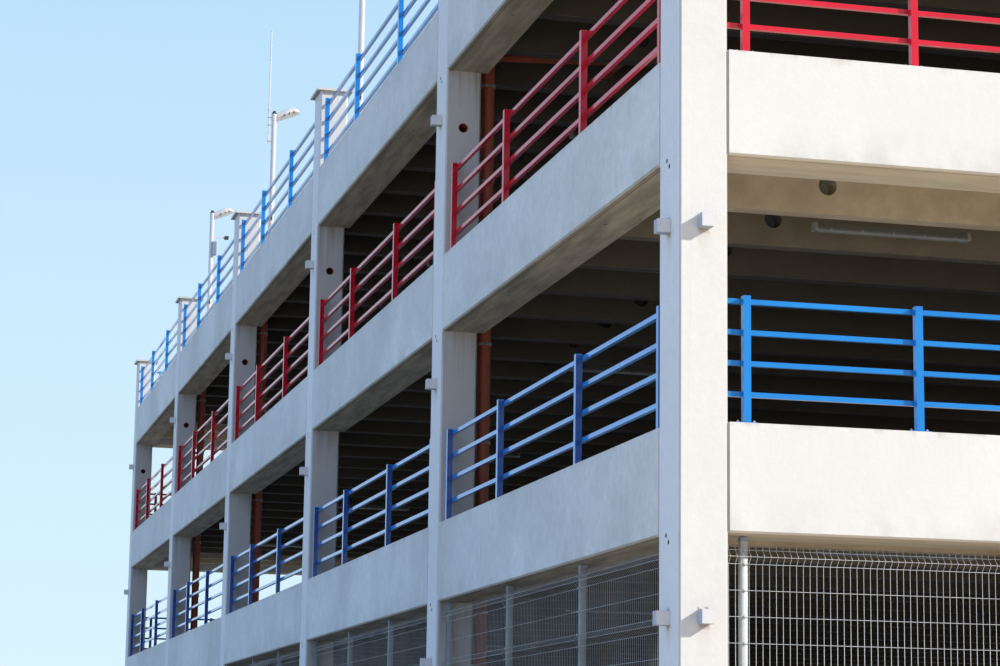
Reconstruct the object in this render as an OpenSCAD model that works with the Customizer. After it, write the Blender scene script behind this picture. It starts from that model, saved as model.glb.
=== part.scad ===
// Multi storey car park in precast concrete, as a half-size (1:2) model in millimetres.
// The real building is about 42 m long, so every size below is half of the real one.
// X runs along the long front, Y into the building from front to back, Z up from the ground.
// Each side is drawn in its own frame: u along the side, d in from its outer face, z up.

/* [Grid] */
// Number of bays along the front
bays = 5; // [2:1:6]
// Column spacing along the front
bay_len = 4160; // [3600:20:4400]
// Number of bays along the short sides
end_bays = 2; // [1:1:3]
// Column spacing along the short sides
end_bay_len = 3960; // [3400:20:4200]

/* [Storeys] */
// Ground to the underside of the first beam
ground_clear = 1300; // [1150:10:1500]
// Height from one deck to the next
storey = 1480; // [1300:10:1700]

/* [Columns] */
// Column width along the front
column_x = 250; // [200:5:320]
// Column width along the short sides
column_y = 200; // [160:5:260]
// Chamfer on the column corners
column_chamfer = 10; // [4:1:16]
// Column height above the roof beams
column_above_roof = 594; // [540:2:700]
// Diameter of the service hole through the columns of the long sides
service_hole_d = 55; // [30:1:80]
// Drop of that hole below the roof beams
service_hole_drop = 325; // [150:5:500]
// Diameter of the fixing sockets in a column's outer face
socket_d = 20; // [12:1:30]
// Depth of the fixing sockets
socket_depth = 8; // [4:1:15]

/* [Column blocks and caps] */
// Width of the small block on a column face
block_w = 50; // [30:1:80]
// Height of the block
block_h = 55; // [30:1:90]
// How far the block stands out
block_out = 55; // [20:1:90]
// Drop of the block below the beam over it
block_drop = 290; // [150:5:500]
// Bevel round the block's outer face
block_bevel = 4; // [2:1:8]
// Overhang of the sheet metal cap past the column
cap_over = 30; // [10:1:40]
// Height of the cap's drip edge
cap_h = 18; // [12:1:45]
// Thickness of the cap's sheet
cap_t = 3; // [2:0.5:6]

/* [Edge beams] */
// Depth of the edge beams
beam_h = 425; // [380:5:500]
// Thickness of a beam's web
web = 125; // [100:5:150]
// Width of the underside of the front and back beams
soffit_w = 235; // [200:5:300]
// Width of the underside of the end beams
end_soffit_w = 285; // [255:5:340]
// Height of the ledge that carries the floor units
ledge_h = 140; // [100:5:200]
// Chamfer on a beam's lower outer edge
beam_chamfer = 8; // [4:1:16]
// Width of the open joint beside a column
joint_w = 6; // [3:1:12]
// Depth of that joint
joint_d = 12; // [6:1:30]

/* [Floor units] */
// Double ribbed units in each bay
units_per_bay = 3; // [2:1:4]
// Overall depth of a unit
unit_h = 275; // [240:5:320]
// Thickness of a unit's flange
flange_t = 35; // [25:1:50]
// Rib width at the bottom
rib_w = 90; // [70:1:110]
// Rib width at the flange
rib_top_w = 118; // [112:1:140]
// Open joint between units
unit_gap = 6; // [2:1:12]
// Gap between a unit's end and the beam's web
unit_end_gap = 8; // [4:1:20]
// Diameter of the holes through the ribs
rib_hole_d = 86; // [50:1:100]
// Distance of those holes from the beam's outer face
rib_hole_in = 1056; // [600:2:1600]
// Height of those holes above the rib's underside
rib_hole_up = 126; // [80:1:150]
// Height of the kerb above the floor
kerb_h = 60; // [40:1:100]
// Thickness of the floor topping
topping_t = 25; // [15:1:40]

/* [Railings] */
// Railing height above the beam
rail_height = 500; // [450:5:550]
// Width of the square posts
post_w = 30; // [20:1:40]
// Distance of the posts from the beam's outer face
post_in = 20; // [10:1:40]
// Height of a rail
rail_h = 20; // [12:1:30]
// Thickness of a rail
rail_t = 20; // [8:1:30]
// Number of rails
rail_count = 4; // [3:1:6]
// Spacing of the rails
rail_pitch = 122; // [70:1:130]
// Gap from the post's top to the top rail
rail_top_gap = 7; // [0:1:20]
// Distance of an end post's middle from the column
end_post_in = 85; // [50:5:200]
// Distance between the two middle posts of a front bay
mid_post_span = 1415; // [800:5:1800]
// How far the middle posts of the lowest long railings stand off the bay's middle
mid_post_shift = 40; // [0:5:100]
// Number of post gaps in a short side's bay
end_bay_gaps = 5; // [3:1:7]
// Length of a post's base plate
plate_l = 90; // [60:5:120]
// Thickness of the base plate
plate_t = 5; // [3:0.5:10]

/* [Mesh fence] */
// Gap between the mesh and the beam above
fence_top_gap = 40; // [30:5:120]
// Gap between the fence posts and the beam above
fence_post_gap = 5; // [2:1:30]
// Gap between the mesh and the ground
fence_low_gap = 35; // [20:5:100]
// Distance of the mesh from the front and back faces
fence_in = 50; // [20:5:120]
// Distance of the mesh from the end faces
end_fence_in = 100; // [20:5:200]
// Width of the square fence posts
fence_post_w = 30; // [20:1:50]
// Distance of an end post's middle from the column on the short sides
end_fence_post_in = 100; // [40:5:200]
// Fence panels in each bay
fence_panels = 3; // [2:1:5]
// Gap between two mesh panels at a post
panel_gap = 6; // [2:1:12]
// Thickness of the mesh bars
wire_t = 5; // [3:0.5:8]
// Upright bars in each panel
wire_cols = 3; // [2:1:6]
// Height of a fold in the mesh
fold_h = 54; // [40:2:70]
// How far a fold stands out
fold_out = 25; // [15:1:40]
// Distance of the first fold's tip from the mesh's top
fold_drop = 42; // [36:1:80]
// Spacing of the folds on the long sides
fold_pitch = 254; // [200:2:400]
// Spacing of the folds on the short sides
end_fold_pitch = 510; // [300:5:600]

/* [Services] */
// Outer diameter of the rainwater pipes
pipe_d = 72; // [50:1:100]
// Distance of a pipe's middle from the front face
pipe_in = 270; // [260:5:360]
// Height of a pipe's clamp
pipe_clamp_h = 24; // [15:1:40]
// How far the clamp stands round the pipe
pipe_clamp_t = 5; // [3:1:10]
// Width of the clamp's arm to the column
pipe_arm_w = 16; // [10:1:30]
// Outer diameter of the branch pipes under the roof
branch_d = 50; // [40:1:60]
// Depth of a branch's lower end below the roof units' flange
branch_drop = 170; // [140:2:200]
// Clearance between a branch and the rib's hole under it
branch_clear = 2; // [1:0.5:6]
// Thickness of the pipes' sockets and bends
pipe_socket_t = 4; // [3:1:8]
// Length of a socket outside the pipe
pipe_socket_l = 30; // [20:1:60]
// Thickness of the floor of a socket
pipe_socket_floor = 6; // [4:1:10]
// Diameter of a roof gully
gully_d = 110; // [80:5:160]
// Width of a gully's rim
gully_rim = 10; // [5:1:15]
// Depth of the dish inside that rim
gully_dish = 12; // [6:1:14]
// Length of a ceiling lamp
lamp_l = 768; // [500:4:900]
// Width of a ceiling lamp
lamp_w = 50; // [30:1:80]
// Width of its top
lamp_top_w = 30; // [20:1:50]
// Height of a ceiling lamp
lamp_h = 34; // [25:1:60]
// Drop of the lamp's underside below the flange
lamp_drop = 224; // [120:1:240]
// Distance of a lamp's middle from the front face
lamp_in = 1526; // [1200:2:2000]
// Thickness of a lamp's hanging rods
lamp_rod_d = 6; // [4:1:10]
// Thickness of the plates that hold the rods to the ceiling
lamp_plate_t = 4; // [3:1:8]

/* [Roof lights] */
// Height of a light pole above the roof beams
pole_h = 1546; // [1200:2:2200]
// Diameter of a light pole
pole_d = 46; // [35:1:80]
// Distance of a pole's middle from the front face
pole_in = 310; // [280:5:500]
// Width of a pole's square base plate
pole_plate_w = 110; // [90:5:160]
// Thickness of the base plate
pole_plate_t = 8; // [5:1:15]
// Diameter of the ball on a pole
ball_d = 30; // [20:1:45]
// Reach of a lantern from the pole
lantern_l = 211; // [150:1:350]
// Width of a lantern
lantern_w = 100; // [70:2:160]
// Width of the lantern's neck at the pole
lantern_neck_w = 50; // [30:2:70]
// Length of the aerial mast
aerial_l = 1050; // [600:10:1600]
// Diameter of the aerial mast
aerial_d = 12; // [8:1:30]
// Distance of the aerial from the pole's middle
aerial_off = 48; // [36:1:80]
// Height of the aerial's lower end above the roof beams
aerial_up = 1270; // [1000:10:1400]

/* [Camera and box] */
// Height of the camera arm above the roof beams
arm_up = 1283; // [1200:1:1500]
// Diameter of the camera arm
arm_d = 10; // [6:1:20]
// Length of the camera arm from the pole
arm_l = 112; // [60:1:200]
// Length of the camera
camera_l = 45; // [30:1:80]
// Width and height of the camera
camera_w = 36; // [24:1:60]
// Width of the box on the pole
box_w = 46; // [30:1:80]
// Height of that box
box_h = 148; // [80:2:240]
// Depth of that box
box_t = 30; // [20:1:60]
// Height of the box's underside above the roof beams
box_up = 1080; // [800:5:1200]

/* [Hidden] */
$fn = 32;
// The four sides, each turned by its number times 90 degrees
FRONT = 0;
RIGHT = 1;
BACK = 2;
LEFT = 3;
SIDES = [FRONT, RIGHT, BACK, LEFT];
// The three raised decks, from the lowest
LEVELS = [0, 1, 2];
ROOF = 2;
// Colours as the finished parts have them
concrete = [0.72, 0.70, 0.66];
dark_concrete = [0.55, 0.53, 0.49];
blue_paint = [0.13, 0.42, 0.78];
red_paint = [0.72, 0.08, 0.12];
zinc = [0.70, 0.72, 0.74];
pipe_brown = [0.42, 0.16, 0.10];
lamp_grey = [0.78, 0.79, 0.78];
// Overall size of the concrete frame
total_x = bays * bay_len + column_x;
total_y = end_bays * end_bay_len + column_y;
// Heights that the whole frame shares
roof_top = ground_clear + ROOF * storey + beam_h;
column_top = roof_top + column_above_roof;
// Heights measured up from a beam's underside
floor_up = beam_h - kerb_h;
flange_top_up = floor_up - topping_t;
flange_up = flange_top_up - flange_t;
rib_up = flange_top_up - unit_h;
unit_w = bay_len / units_per_bay;
rib_pitch = unit_w / 2;
// Heights of the clamps that hold the fence to the columns, as shares of the clear height
fence_clamp_at = [0.26, 0.63];
// Places of the fixing sockets: in from the column's right edge, and up from a beam's underside
socket_at = [[155, -6], [125, -34]];
// How far the pipe's clamps lie below each beam
pipe_clamp_below = [54, 605];
// Gap between a pipe and its seat in a socket, and between a gully and the screed round it
seat_gap = 0.3;
// Heights of a branch at the pipe and in the rib's hole, up from the roof beams' underside
branch_low = flange_up - branch_drop;
branch_high = rib_up + rib_hole_up - (rib_hole_d - branch_d) / 2 + branch_clear;
// Route of a branch, from the middle of its pipe to its gully in the middle of a floor unit
branch_route = [
    [0, 0, branch_low],
    [0, rib_hole_in - pipe_in, branch_high],
    [-rib_pitch, rib_hole_in - pipe_in, branch_high],
    [-rib_pitch, rib_hole_in - pipe_in, flange_top_up]
];
// Where the rods hold a lamp, as shares of its length
lamp_rod_at = [0.04, 0.24, 0.8, 0.96];
// Side view of a lantern: out from the pole as shares of its reach, and up from the pole's top
lantern_side = [
    [0, -70], [0.06, -72], [1, 19], [0.98, 32], [0.9, 49], [0.8, 62], [0.69, 71],
    [0.5, 63], [0.36, 47], [0.26, 36], [0, 6]
];
// Heights of the aerial's clamps above its lower end
aerial_clamp_at = [18, 168, 239];
// Gap between the switch box and the middle line of its pole
box_side = 4;
// Small allowance that makes cuts run past a surface
past = 10;

function is_long(side) = side == FRONT || side == BACK;
function bays_on(side) = is_long(side) ? bays : end_bays;
function pitch_on(side) = is_long(side) ? bay_len : end_bay_len;
function column_along(side) = is_long(side) ? column_x : column_y;
function column_deep(side) = is_long(side) ? column_y : column_x;
function length_of(side) = is_long(side) ? total_x : total_y;
function half_across(side) = (is_long(side) ? total_y : total_x) / 2;
function clear_on(side) = pitch_on(side) - column_along(side);
function soffit_on(side) = is_long(side) ? soffit_w : end_soffit_w;
function column_mid(side, n) = column_along(side) / 2 + n * pitch_on(side);
function bay_start(side, n) = column_along(side) + n * pitch_on(side);
function level_z(level) = ground_clear + level * storey;
function level_paint(level) = level == 1 ? red_paint : blue_paint;

// Puts children, drawn in a side's own frame, on that side of the building
module on_side(side)
    rotate([0, 0, 90 * side])
        translate([-length_of(side) / 2, -half_across(side), 0])
            children();

// A plan outline with its four corners cut off
module chamfered_outline(w, d, c)
    polygon([[c, 0], [w - c, 0], [w, c], [w, d - c], [w - c, d], [c, d], [0, d - c], [0, c]]);

// One column, drawn from its outer corner, with blind sockets in its outer face
module column()
    difference() {
        linear_extrude(column_top) chamfered_outline(column_x, column_y, column_chamfer);
        for (level = LEVELS, at = socket_at)
            translate([column_x - at[0], -past, level_z(level) + at[1]])
                rotate([-90, 0, 0])
                    cylinder(h = socket_depth + past, d = socket_d);
    }

// A column of the long sides, which a service hole runs through
module long_side_column(side, n)
    color(concrete)
        on_side(side)
            translate([n * bay_len, 0, 0])
                difference() {
                    column();
                    translate([-past, column_y / 2, level_z(ROOF) - service_hole_drop])
                        rotate([0, 90, 0])
                            cylinder(h = column_x + 2 * past, d = service_hole_d);
                }

module end_columns()
    color(concrete)
        for (side = [RIGHT, LEFT], n = [1 : 1 : end_bays - 1])
            on_side(side)
                translate([n * end_bay_len + column_y, 0, 0])
                    rotate([0, 0, 90])
                        column();

module back_columns()
    for (n = [0 : bays])
        long_side_column(BACK, n);

// An outline of w by d whose two corners on the side of the first axis are bevelled
module bevelled_face(w, d, c)
    polygon([[c, 0], [w - c, 0], [w, c], [w, d], [0, d], [0, c]]);

// The small block fixed to a column's outer face under each beam
module block(side, n, level)
    on_side(side)
        translate([column_mid(side, n) - block_w / 2, -block_out, level_z(level) - block_drop])
            intersection() {
                linear_extrude(block_h) bevelled_face(block_w, block_out, block_bevel);
                translate([0, 0, block_h])
                    rotate([0, 90, 0])
                        linear_extrude(block_w) bevelled_face(block_h, block_out, block_bevel);
            }

module column_blocks()
    color(concrete)
        for (side = SIDES, n = [0 : bays_on(side)], level = LEVELS)
            block(side, n, level);

// A folded metal cap: a top sheet on the column and a drip edge hanging round it
module cap(w, d)
    translate([-cap_over, -cap_over, 0])
        difference() {
            translate([0, 0, cap_t - cap_h]) cube([w + 2 * cap_over, d + 2 * cap_over, cap_h]);
            translate([cap_t, cap_t, -cap_h])
                cube([w + 2 * (cap_over - cap_t), d + 2 * (cap_over - cap_t), cap_h]);
        }

module column_caps()
    color(zinc) {
        for (side = [FRONT, BACK], n = [0 : bays])
            on_side(side)
                translate([n * bay_len, 0, column_top]) cap(column_x, column_y);
        for (side = [RIGHT, LEFT], n = [1 : 1 : end_bays - 1])
            on_side(side)
                translate([n * end_bay_len, 0, column_top]) cap(column_y, column_x);
    }

// Section of an edge beam: d across, z up from its underside
module beam_section(soffit)
    polygon([
        [beam_chamfer, 0], [soffit, 0], [soffit, ledge_h], [web, ledge_h],
        [web, beam_h], [0, beam_h], [0, beam_chamfer]
    ]);

// Extrudes a section drawn as [d, z] along u
module along_u(length)
    rotate([90, 0, 90]) linear_extrude(length) children();

// One edge beam between two columns, with the open joint cut beside each of them
module beam(side, n, level)
    on_side(side)
        translate([bay_start(side, n), 0, level_z(level)])
            difference() {
                along_u(clear_on(side)) beam_section(soffit_on(side));
                for (u = [-past, clear_on(side) - joint_w])
                    translate([u, -past, -past])
                        cube([joint_w + past, joint_d + past, beam_h + 2 * past]);
                if (!is_long(side))
                    beam_corner_cuts(side, n);
            }

// Cuts an end beam's ledge back where the front and back ledges cross it
module beam_corner_cuts(side, n) {
    cut = soffit_w - column_y + unit_end_gap;
    ends = [if (n == 0) -past, if (n == bays_on(side) - 1) clear_on(side) - cut];
    for (u = ends)
        translate([u, web, -past])
            cube([cut + past, end_soffit_w, ledge_h + 2 * past]);
}

module beams(side, level)
    color(concrete)
        for (n = [0 : bays_on(side) - 1])
            beam(side, n, level);

// Section of a double ribbed unit: across its width, z up from the beam's underside
module unit_section() {
    translate([unit_gap / 2, flange_up]) square([unit_w - unit_gap, flange_t]);
    for (rib = [0.5, 1.5])
        translate([rib * rib_pitch, 0])
            polygon([
                [-rib_w / 2, rib_up], [rib_w / 2, rib_up],
                [rib_top_w / 2, flange_up], [-rib_top_w / 2, flange_up]
            ]);
}

// Boxes that clear the columns out of a deck layer, with a gap round each
module column_room(gap, z, h)
    for (side = SIDES, n = [0 : bays_on(side)])
        on_side(side)
            translate([column_mid(side, n) - column_along(side) / 2 - gap, -past, z])
                cube([column_along(side) + 2 * gap, column_deep(side) + gap + past, h]);

function pipe_columns() = [for (n = [4, 2, 1]) if (n < bays) n];

module pipe_room(gap, z, h)
    on_side(FRONT)
        for (n = pipe_columns())
            translate([column_mid(FRONT, n), pipe_in, z])
                cylinder(h = h, d = pipe_d + 2 * gap);

// Holes round the gullies, or round the pipes under them, through a layer of the roof
module gully_room(d, up, t)
    on_side(FRONT)
        for (n = pipe_columns())
            translate([column_mid(FRONT, n) - rib_pitch, rib_hole_in, level_z(ROOF) + up - past])
                cylinder(h = t + 2 * past, d = d);

// One floor unit, spanning from the front beam's ledge to the back beam's ledge
module floor_unit(k) {
    span = total_y - 2 * (web + unit_end_gap);
    dap = soffit_w - web + unit_end_gap;
    difference() {
        translate([column_x / 2 + k * unit_w, total_y - web - unit_end_gap, 0])
            rotate([90, 0, 0])
                linear_extrude(span) unit_section();
        for (d = [web, total_y - web - dap])
            translate([k * unit_w, d - (d == web ? past : 0), rib_up - past])
                cube([unit_w + column_x, dap + past, ledge_h - rib_up + past]);
        for (d = [rib_hole_in, total_y - rib_hole_in])
            translate([k * unit_w, d, rib_up + rib_hole_up])
                rotate([0, 90, 0])
                    cylinder(h = unit_w + column_x, d = rib_hole_d);
    }
}

module floor_units(level)
    color(dark_concrete)
        for (k = [0 : bays * units_per_bay - 1])
            difference() {
                on_side(FRONT) translate([0, 0, level_z(level)]) floor_unit(k);
                column_room(unit_gap / 2, level_z(level) + flange_up - past, flange_t + 2 * past);
                pipe_room(unit_gap / 2, level_z(level) + flange_up - past, flange_t + 2 * past);
                if (level == ROOF)
                    gully_room(branch_d + unit_gap, flange_up, flange_t);
            }

// The screed that covers the units between the beams
module topping(level)
    color(concrete)
        difference() {
            translate([web - total_x / 2, web - total_y / 2, level_z(level) + flange_top_up])
                cube([total_x - 2 * web, total_y - 2 * web, topping_t]);
            column_room(0, level_z(level) + flange_top_up - past, topping_t + 2 * past);
            if (level < ROOF)
                pipe_room(unit_gap / 2, level_z(level) + flange_top_up - past, topping_t + 2 * past);
            else
                gully_room(gully_d + 2 * seat_gap, flange_top_up, topping_t);
        }

module floor_topping()
    for (level = [0, 1])
        topping(level);

// Where the posts of one railing bay stand, measured from the column
function long_posts(clear, shift) = [
    end_post_in, (clear - mid_post_span) / 2 - shift,
    (clear + mid_post_span) / 2 - shift, clear - end_post_in
];
function end_posts(clear) = [
    for (i = [0 : end_bay_gaps]) end_post_in + i * (clear - 2 * end_post_in) / end_bay_gaps
];
function posts_on(side, level) =
    is_long(side)
        ? long_posts(clear_on(side), level == 0 ? mid_post_shift : 0)
        : end_posts(clear_on(side));

// One bay of railing: posts on base plates, with the rails along their inner side
module railing_bay(side, level) {
    for (u = posts_on(side, level)) {
        translate([u - post_w / 2, post_in, 0]) cube([post_w, post_w, rail_height]);
        translate([u - plate_l / 2, post_in, 0]) cube([plate_l, post_w + rail_t, plate_t]);
    }
    for (i = [0 : rail_count - 1])
        translate([joint_w, post_in + post_w, rail_height - rail_top_gap - rail_h - i * rail_pitch])
            cube([clear_on(side) - 2 * joint_w, rail_t, rail_h]);
}

module railing(side, level)
    color(level_paint(level))
        on_side(side)
            for (n = [0 : bays_on(side) - 1])
                translate([bay_start(side, n), 0, level_z(level) + beam_h])
                    railing_bay(side, level);

// Heights of the tips of the folds in a mesh that is h high, from the top one down
function fold_tips(side, h) =
    [for (z = [h - fold_drop : -(is_long(side) ? fold_pitch : end_fold_pitch) : fold_h]) z];

// One upright wire from the side: d across, z up, with a fold outwards at each tip
module upright_wire(side, h) {
    outer = [
        [0, h],
        for (tip = fold_tips(side, h))
            each [[0, tip + fold_h / 2], [-fold_out, tip], [0, tip - fold_h / 2]],
        [0, 0]
    ];
    inner = [for (i = [len(outer) - 1 : -1 : 0]) outer[i] + [wire_t, 0]];
    polygon(concat(outer, inner));
}

// One welded mesh panel: upright wires, and level wires along the top, the foot and each fold
module mesh_panel(side, w, h) {
    for (i = [0 : wire_cols - 1])
        translate([i * (w - wire_t) / (wire_cols - 1), 0, 0])
            along_u(wire_t) upright_wire(side, h);
    for (z = [0, h - wire_t])
        translate([0, 0, z]) cube([w, wire_t, wire_t]);
    for (tip = fold_tips(side, h))
        translate([0, -fold_out, tip - wire_t / 2]) cube([w, wire_t, wire_t]);
}

// Where the posts of one fence bay stand, measured from the column
function fence_posts(side) =
    let (first = is_long(side) ? joint_w + fence_post_w / 2 : end_fence_post_in)
    [for (i = [0 : fence_panels]) first + i * (clear_on(side) - 2 * first) / fence_panels];

// One bay of fence: square posts on the ground, with mesh panels on their outer side
module fence_bay(side) {
    mesh_d = is_long(side) ? fence_in : end_fence_in;
    mesh_h = ground_clear - fence_top_gap - fence_low_gap;
    posts = fence_posts(side);
    for (u = posts)
        translate([u - fence_post_w / 2, mesh_d + wire_t, 0])
            cube([fence_post_w, fence_post_w, ground_clear - fence_post_gap]);
    for (u = [0, clear_on(side) - joint_w], z = fence_clamp_at * ground_clear)
        translate([u, mesh_d, z])
            cube([joint_w, wire_t + fence_post_w, fence_post_w]);
    for (i = [0 : fence_panels - 1]) {
        low = i == 0 ? joint_w : posts[i] + panel_gap / 2;
        high = i == fence_panels - 1 ? clear_on(side) - joint_w : posts[i + 1] - panel_gap / 2;
        translate([low, mesh_d, fence_low_gap])
            mesh_panel(side, high - low, mesh_h);
    }
}

module fence(side, first)
    color(zinc)
        on_side(side)
            for (n = [first : bays_on(side) - 1])
                translate([bay_start(side, n), 0, 0])
                    fence_bay(side);

// The point that lies so far on the way from one point to another
function on_way(from, to, far) = from + far * (to - from) / norm(to - from);

// A straight pipe between two points
module pipe_between(from, to, d) {
    way = to - from;
    translate(from)
        rotate([0, acos(way.z / norm(way)), atan2(way.y, way.x)])
            cylinder(h = norm(way), d = d);
}

// The socket on a rainwater pipe that its branch is pushed into
module branch_socket() {
    mouth = on_way(branch_route[0], branch_route[1], pipe_d / 2 + pipe_socket_l);
    pipe_between(branch_route[0], mouth, branch_d + 2 * pipe_socket_t);
}

module branch_bore() {
    seat = on_way(branch_route[0], branch_route[1], pipe_d / 2 + pipe_socket_floor);
    pipe_between(seat, branch_route[1], branch_d + 2 * seat_gap);
}

// A round gully with a dished top, let into the roof's screed
module gully()
    difference() {
        cylinder(h = topping_t, d = gully_d);
        translate([0, 0, topping_t - gully_dish])
            cylinder(h = gully_dish + past, d = gully_d - 2 * gully_rim);
    }

// A branch that rises from its socket, turns through the hole in a rib and stands under a gully
module branch() {
    seat = on_way(branch_route[0], branch_route[1], pipe_d / 2 + pipe_socket_floor + seat_gap);
    pipe_between(seat, branch_route[1], branch_d);
    for (i = [1, 2]) {
        translate(branch_route[i]) sphere(d = branch_d + 2 * pipe_socket_t);
        pipe_between(branch_route[i], branch_route[i + 1], branch_d);
    }
    translate(branch_route[3]) gully();
}

// A rainwater pipe, held to the column in front of it by clamps under each deck
module rainwater_pipe() {
    clamp_d = pipe_d + 2 * pipe_clamp_t;
    difference() {
        union() {
            cylinder(h = level_z(ROOF) + flange_top_up, d = pipe_d);
            translate([0, 0, level_z(ROOF)]) branch_socket();
        }
        translate([0, 0, level_z(ROOF)]) branch_bore();
    }
    for (level = LEVELS, below = pipe_clamp_below)
        translate([0, 0, level_z(level) - below]) {
            cylinder(h = pipe_clamp_h, d = clamp_d);
            translate([-pipe_arm_w / 2, column_y - pipe_in, 0])
                cube([pipe_arm_w, pipe_in - column_y, pipe_clamp_h]);
        }
}

module rainwater_pipes()
    color(pipe_brown)
        on_side(FRONT)
            for (n = pipe_columns())
                translate([column_mid(FRONT, n), pipe_in, 0]) {
                    rainwater_pipe();
                    translate([0, 0, level_z(ROOF)]) branch();
                }

// A long ceiling lamp with sloping sides, hung on rods from plates on the ceiling
module ceiling_lamp() {
    translate([0, lamp_l / 2, -lamp_drop])
        rotate([90, 0, 0])
            linear_extrude(lamp_l)
                polygon([
                    [-lamp_w / 2, 0], [lamp_w / 2, 0], [lamp_w / 2, lamp_h / 4],
                    [lamp_top_w / 2, lamp_h], [-lamp_top_w / 2, lamp_h], [-lamp_w / 2, lamp_h / 4]
                ]);
    for (at = lamp_rod_at)
        translate([0, (at - 0.5) * lamp_l, 0]) {
            translate([0, 0, lamp_h - lamp_drop])
                cylinder(h = lamp_drop - lamp_h - lamp_plate_t, d = lamp_rod_d);
            translate([-lamp_w / 2, -lamp_w / 4, -lamp_plate_t])
                cube([lamp_w, lamp_w / 2, lamp_plate_t]);
        }
}

module ceiling_lamps() {
    joint_x = column_x / 2 + (units_per_bay - 1) * unit_w;
    color(lamp_grey)
        on_side(FRONT)
            for (level = LEVELS, n = [0 : bays - 1], d = [lamp_in, total_y - lamp_in])
                translate([joint_x + n * bay_len, d, level_z(level) + flange_up])
                    ceiling_lamp();
}

function pole_columns() = [for (n = [3 : -1 : 1]) if (n < bays) n];

// A plain tube on a base plate, with a ball on top
module light_pole() {
    base = level_z(ROOF) + floor_up;
    translate([0, 0, base]) cylinder(h = roof_top + pole_h - base, d = pole_d);
    translate([-pole_plate_w / 2, -pole_plate_w / 2, base])
        cube([pole_plate_w, pole_plate_w, pole_plate_t]);
    translate([0, 0, roof_top + pole_h + ball_d / 3]) sphere(d = ball_d);
}

module roof_light_poles()
    color(lamp_grey)
        on_side(FRONT)
            for (n = pole_columns())
                translate([column_mid(FRONT, n), pole_in, 0])
                    light_pole();

// A lantern from above: a narrow neck that widens into a round tip
module lantern_plan() {
    tip = lantern_l - lantern_w / 2;
    polygon([
        [-lantern_neck_w / 2, 0], [lantern_neck_w / 2, 0], [lantern_w / 2, tip / 2],
        [lantern_w / 2, tip], [-lantern_w / 2, tip], [-lantern_w / 2, tip / 2]
    ]);
    translate([0, tip]) circle(d = lantern_w);
}

// A hooded lantern that rises as it reaches in over the roof from the pole's top
module lantern() {
    highest = max([for (p = lantern_side) p[1]]);
    lowest = min([for (p = lantern_side) p[1]]);
    intersection() {
        translate([0, 0, lowest]) linear_extrude(highest - lowest) lantern_plan();
        translate([-lantern_w / 2, 0, 0])
            along_u(lantern_w)
                polygon([for (p = lantern_side) [p[0] * lantern_l, p[1]]]);
    }
}

module pole_lanterns()
    color(lamp_grey)
        on_side(FRONT)
            for (n = pole_columns())
                translate([column_mid(FRONT, n), pole_in + pole_d / 2, roof_top + pole_h])
                    lantern();

// A thin mast that clamps hold off the middle pole
module aerial_mast() {
    clamp_h = 8;
    color(zinc)
        on_side(FRONT)
            translate([column_mid(FRONT, 2), pole_in - aerial_off, roof_top + aerial_up]) {
                cylinder(h = aerial_l, d = aerial_d);
                for (z = aerial_clamp_at)
                    translate([-aerial_d, -aerial_d, z])
                        cube([2 * aerial_d, aerial_off - pole_d / 2 + aerial_d, clamp_h]);
            }
}

// A camera on a thin arm, and the switch box below it on the same pole
module security_camera() {
    foot_t = 4;
    color(lamp_grey)
        on_side(FRONT)
            translate([column_mid(FRONT, 1), pole_in, roof_top]) {
                translate([0, pole_d / 2, arm_up]) {
                    rotate([-90, 0, 0]) cylinder(h = arm_l, d = arm_d);
                    translate([-arm_d, 0, -arm_d]) cube([2 * arm_d, foot_t, 2 * arm_d]);
                    translate([-camera_w / 2, arm_l, -camera_w / 2])
                        cube([camera_w, camera_l, camera_w]);
                }
                translate([pole_d / 2, box_side, box_up]) cube([box_t, box_w, box_h]);
            }
}

long_side_column(FRONT, 5);  // front_column_1
long_side_column(FRONT, 4);  // front_column_2
long_side_column(FRONT, 3);  // front_column_3
long_side_column(FRONT, 2);  // front_column_4
long_side_column(FRONT, 1);  // front_column_5
long_side_column(FRONT, 0);  // front_column_6
back_columns();
end_columns();
column_blocks();
column_caps();
beams(FRONT, 0);  // front_beams_level_1
beams(FRONT, 1);  // front_beams_level_2
beams(FRONT, ROOF);  // front_beams_roof
beams(RIGHT, 0);  // right_beams_level_1
beams(RIGHT, 1);  // right_beams_level_2
beams(RIGHT, ROOF);  // right_beams_roof
for (level = LEVELS) beams(BACK, level);  // back_beams
for (level = LEVELS) beams(LEFT, level);  // left_beams
floor_units(0);  // floor_units_level_1
floor_units(1);  // floor_units_level_2
floor_units(ROOF);  // roof_units
floor_topping();
topping(ROOF);  // roof_topping
railing(FRONT, 0);  // front_railing_level_1
railing(FRONT, 1);  // front_railing_level_2
railing(FRONT, ROOF);  // front_railing_roof
railing(RIGHT, 0);  // right_railing_level_1
railing(RIGHT, 1);  // right_railing_level_2
railing(RIGHT, ROOF);  // right_railing_roof
railing(BACK, 0);  // back_railing_level_1
railing(BACK, 1);  // back_railing_level_2
railing(BACK, ROOF);  // back_railing_roof
railing(LEFT, 0);  // left_railing_level_1
railing(LEFT, 1);  // left_railing_level_2
railing(LEFT, ROOF);  // left_railing_roof
fence(FRONT, 0);  // front_fence
fence(RIGHT, 0);  // right_fence
fence(BACK, 1);  // back_fence
fence(LEFT, 0);  // left_fence
rainwater_pipes();
ceiling_lamps();
roof_light_poles();
pole_lanterns();
aerial_mast();
security_camera();
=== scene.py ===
# %% [markdown]
# # A multi storey car park, dressed for its picture
# The concrete frame, the floors and the railings come as a fixed model at half of the real size. This
# script gives each of them a finish, and adds what is too fine for that model: welded mesh, bolts,
# lamps, lanterns, stains. Every text cell says what its piece is on a real car park, how it could be
# made, and why it is made this way.

import math

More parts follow.
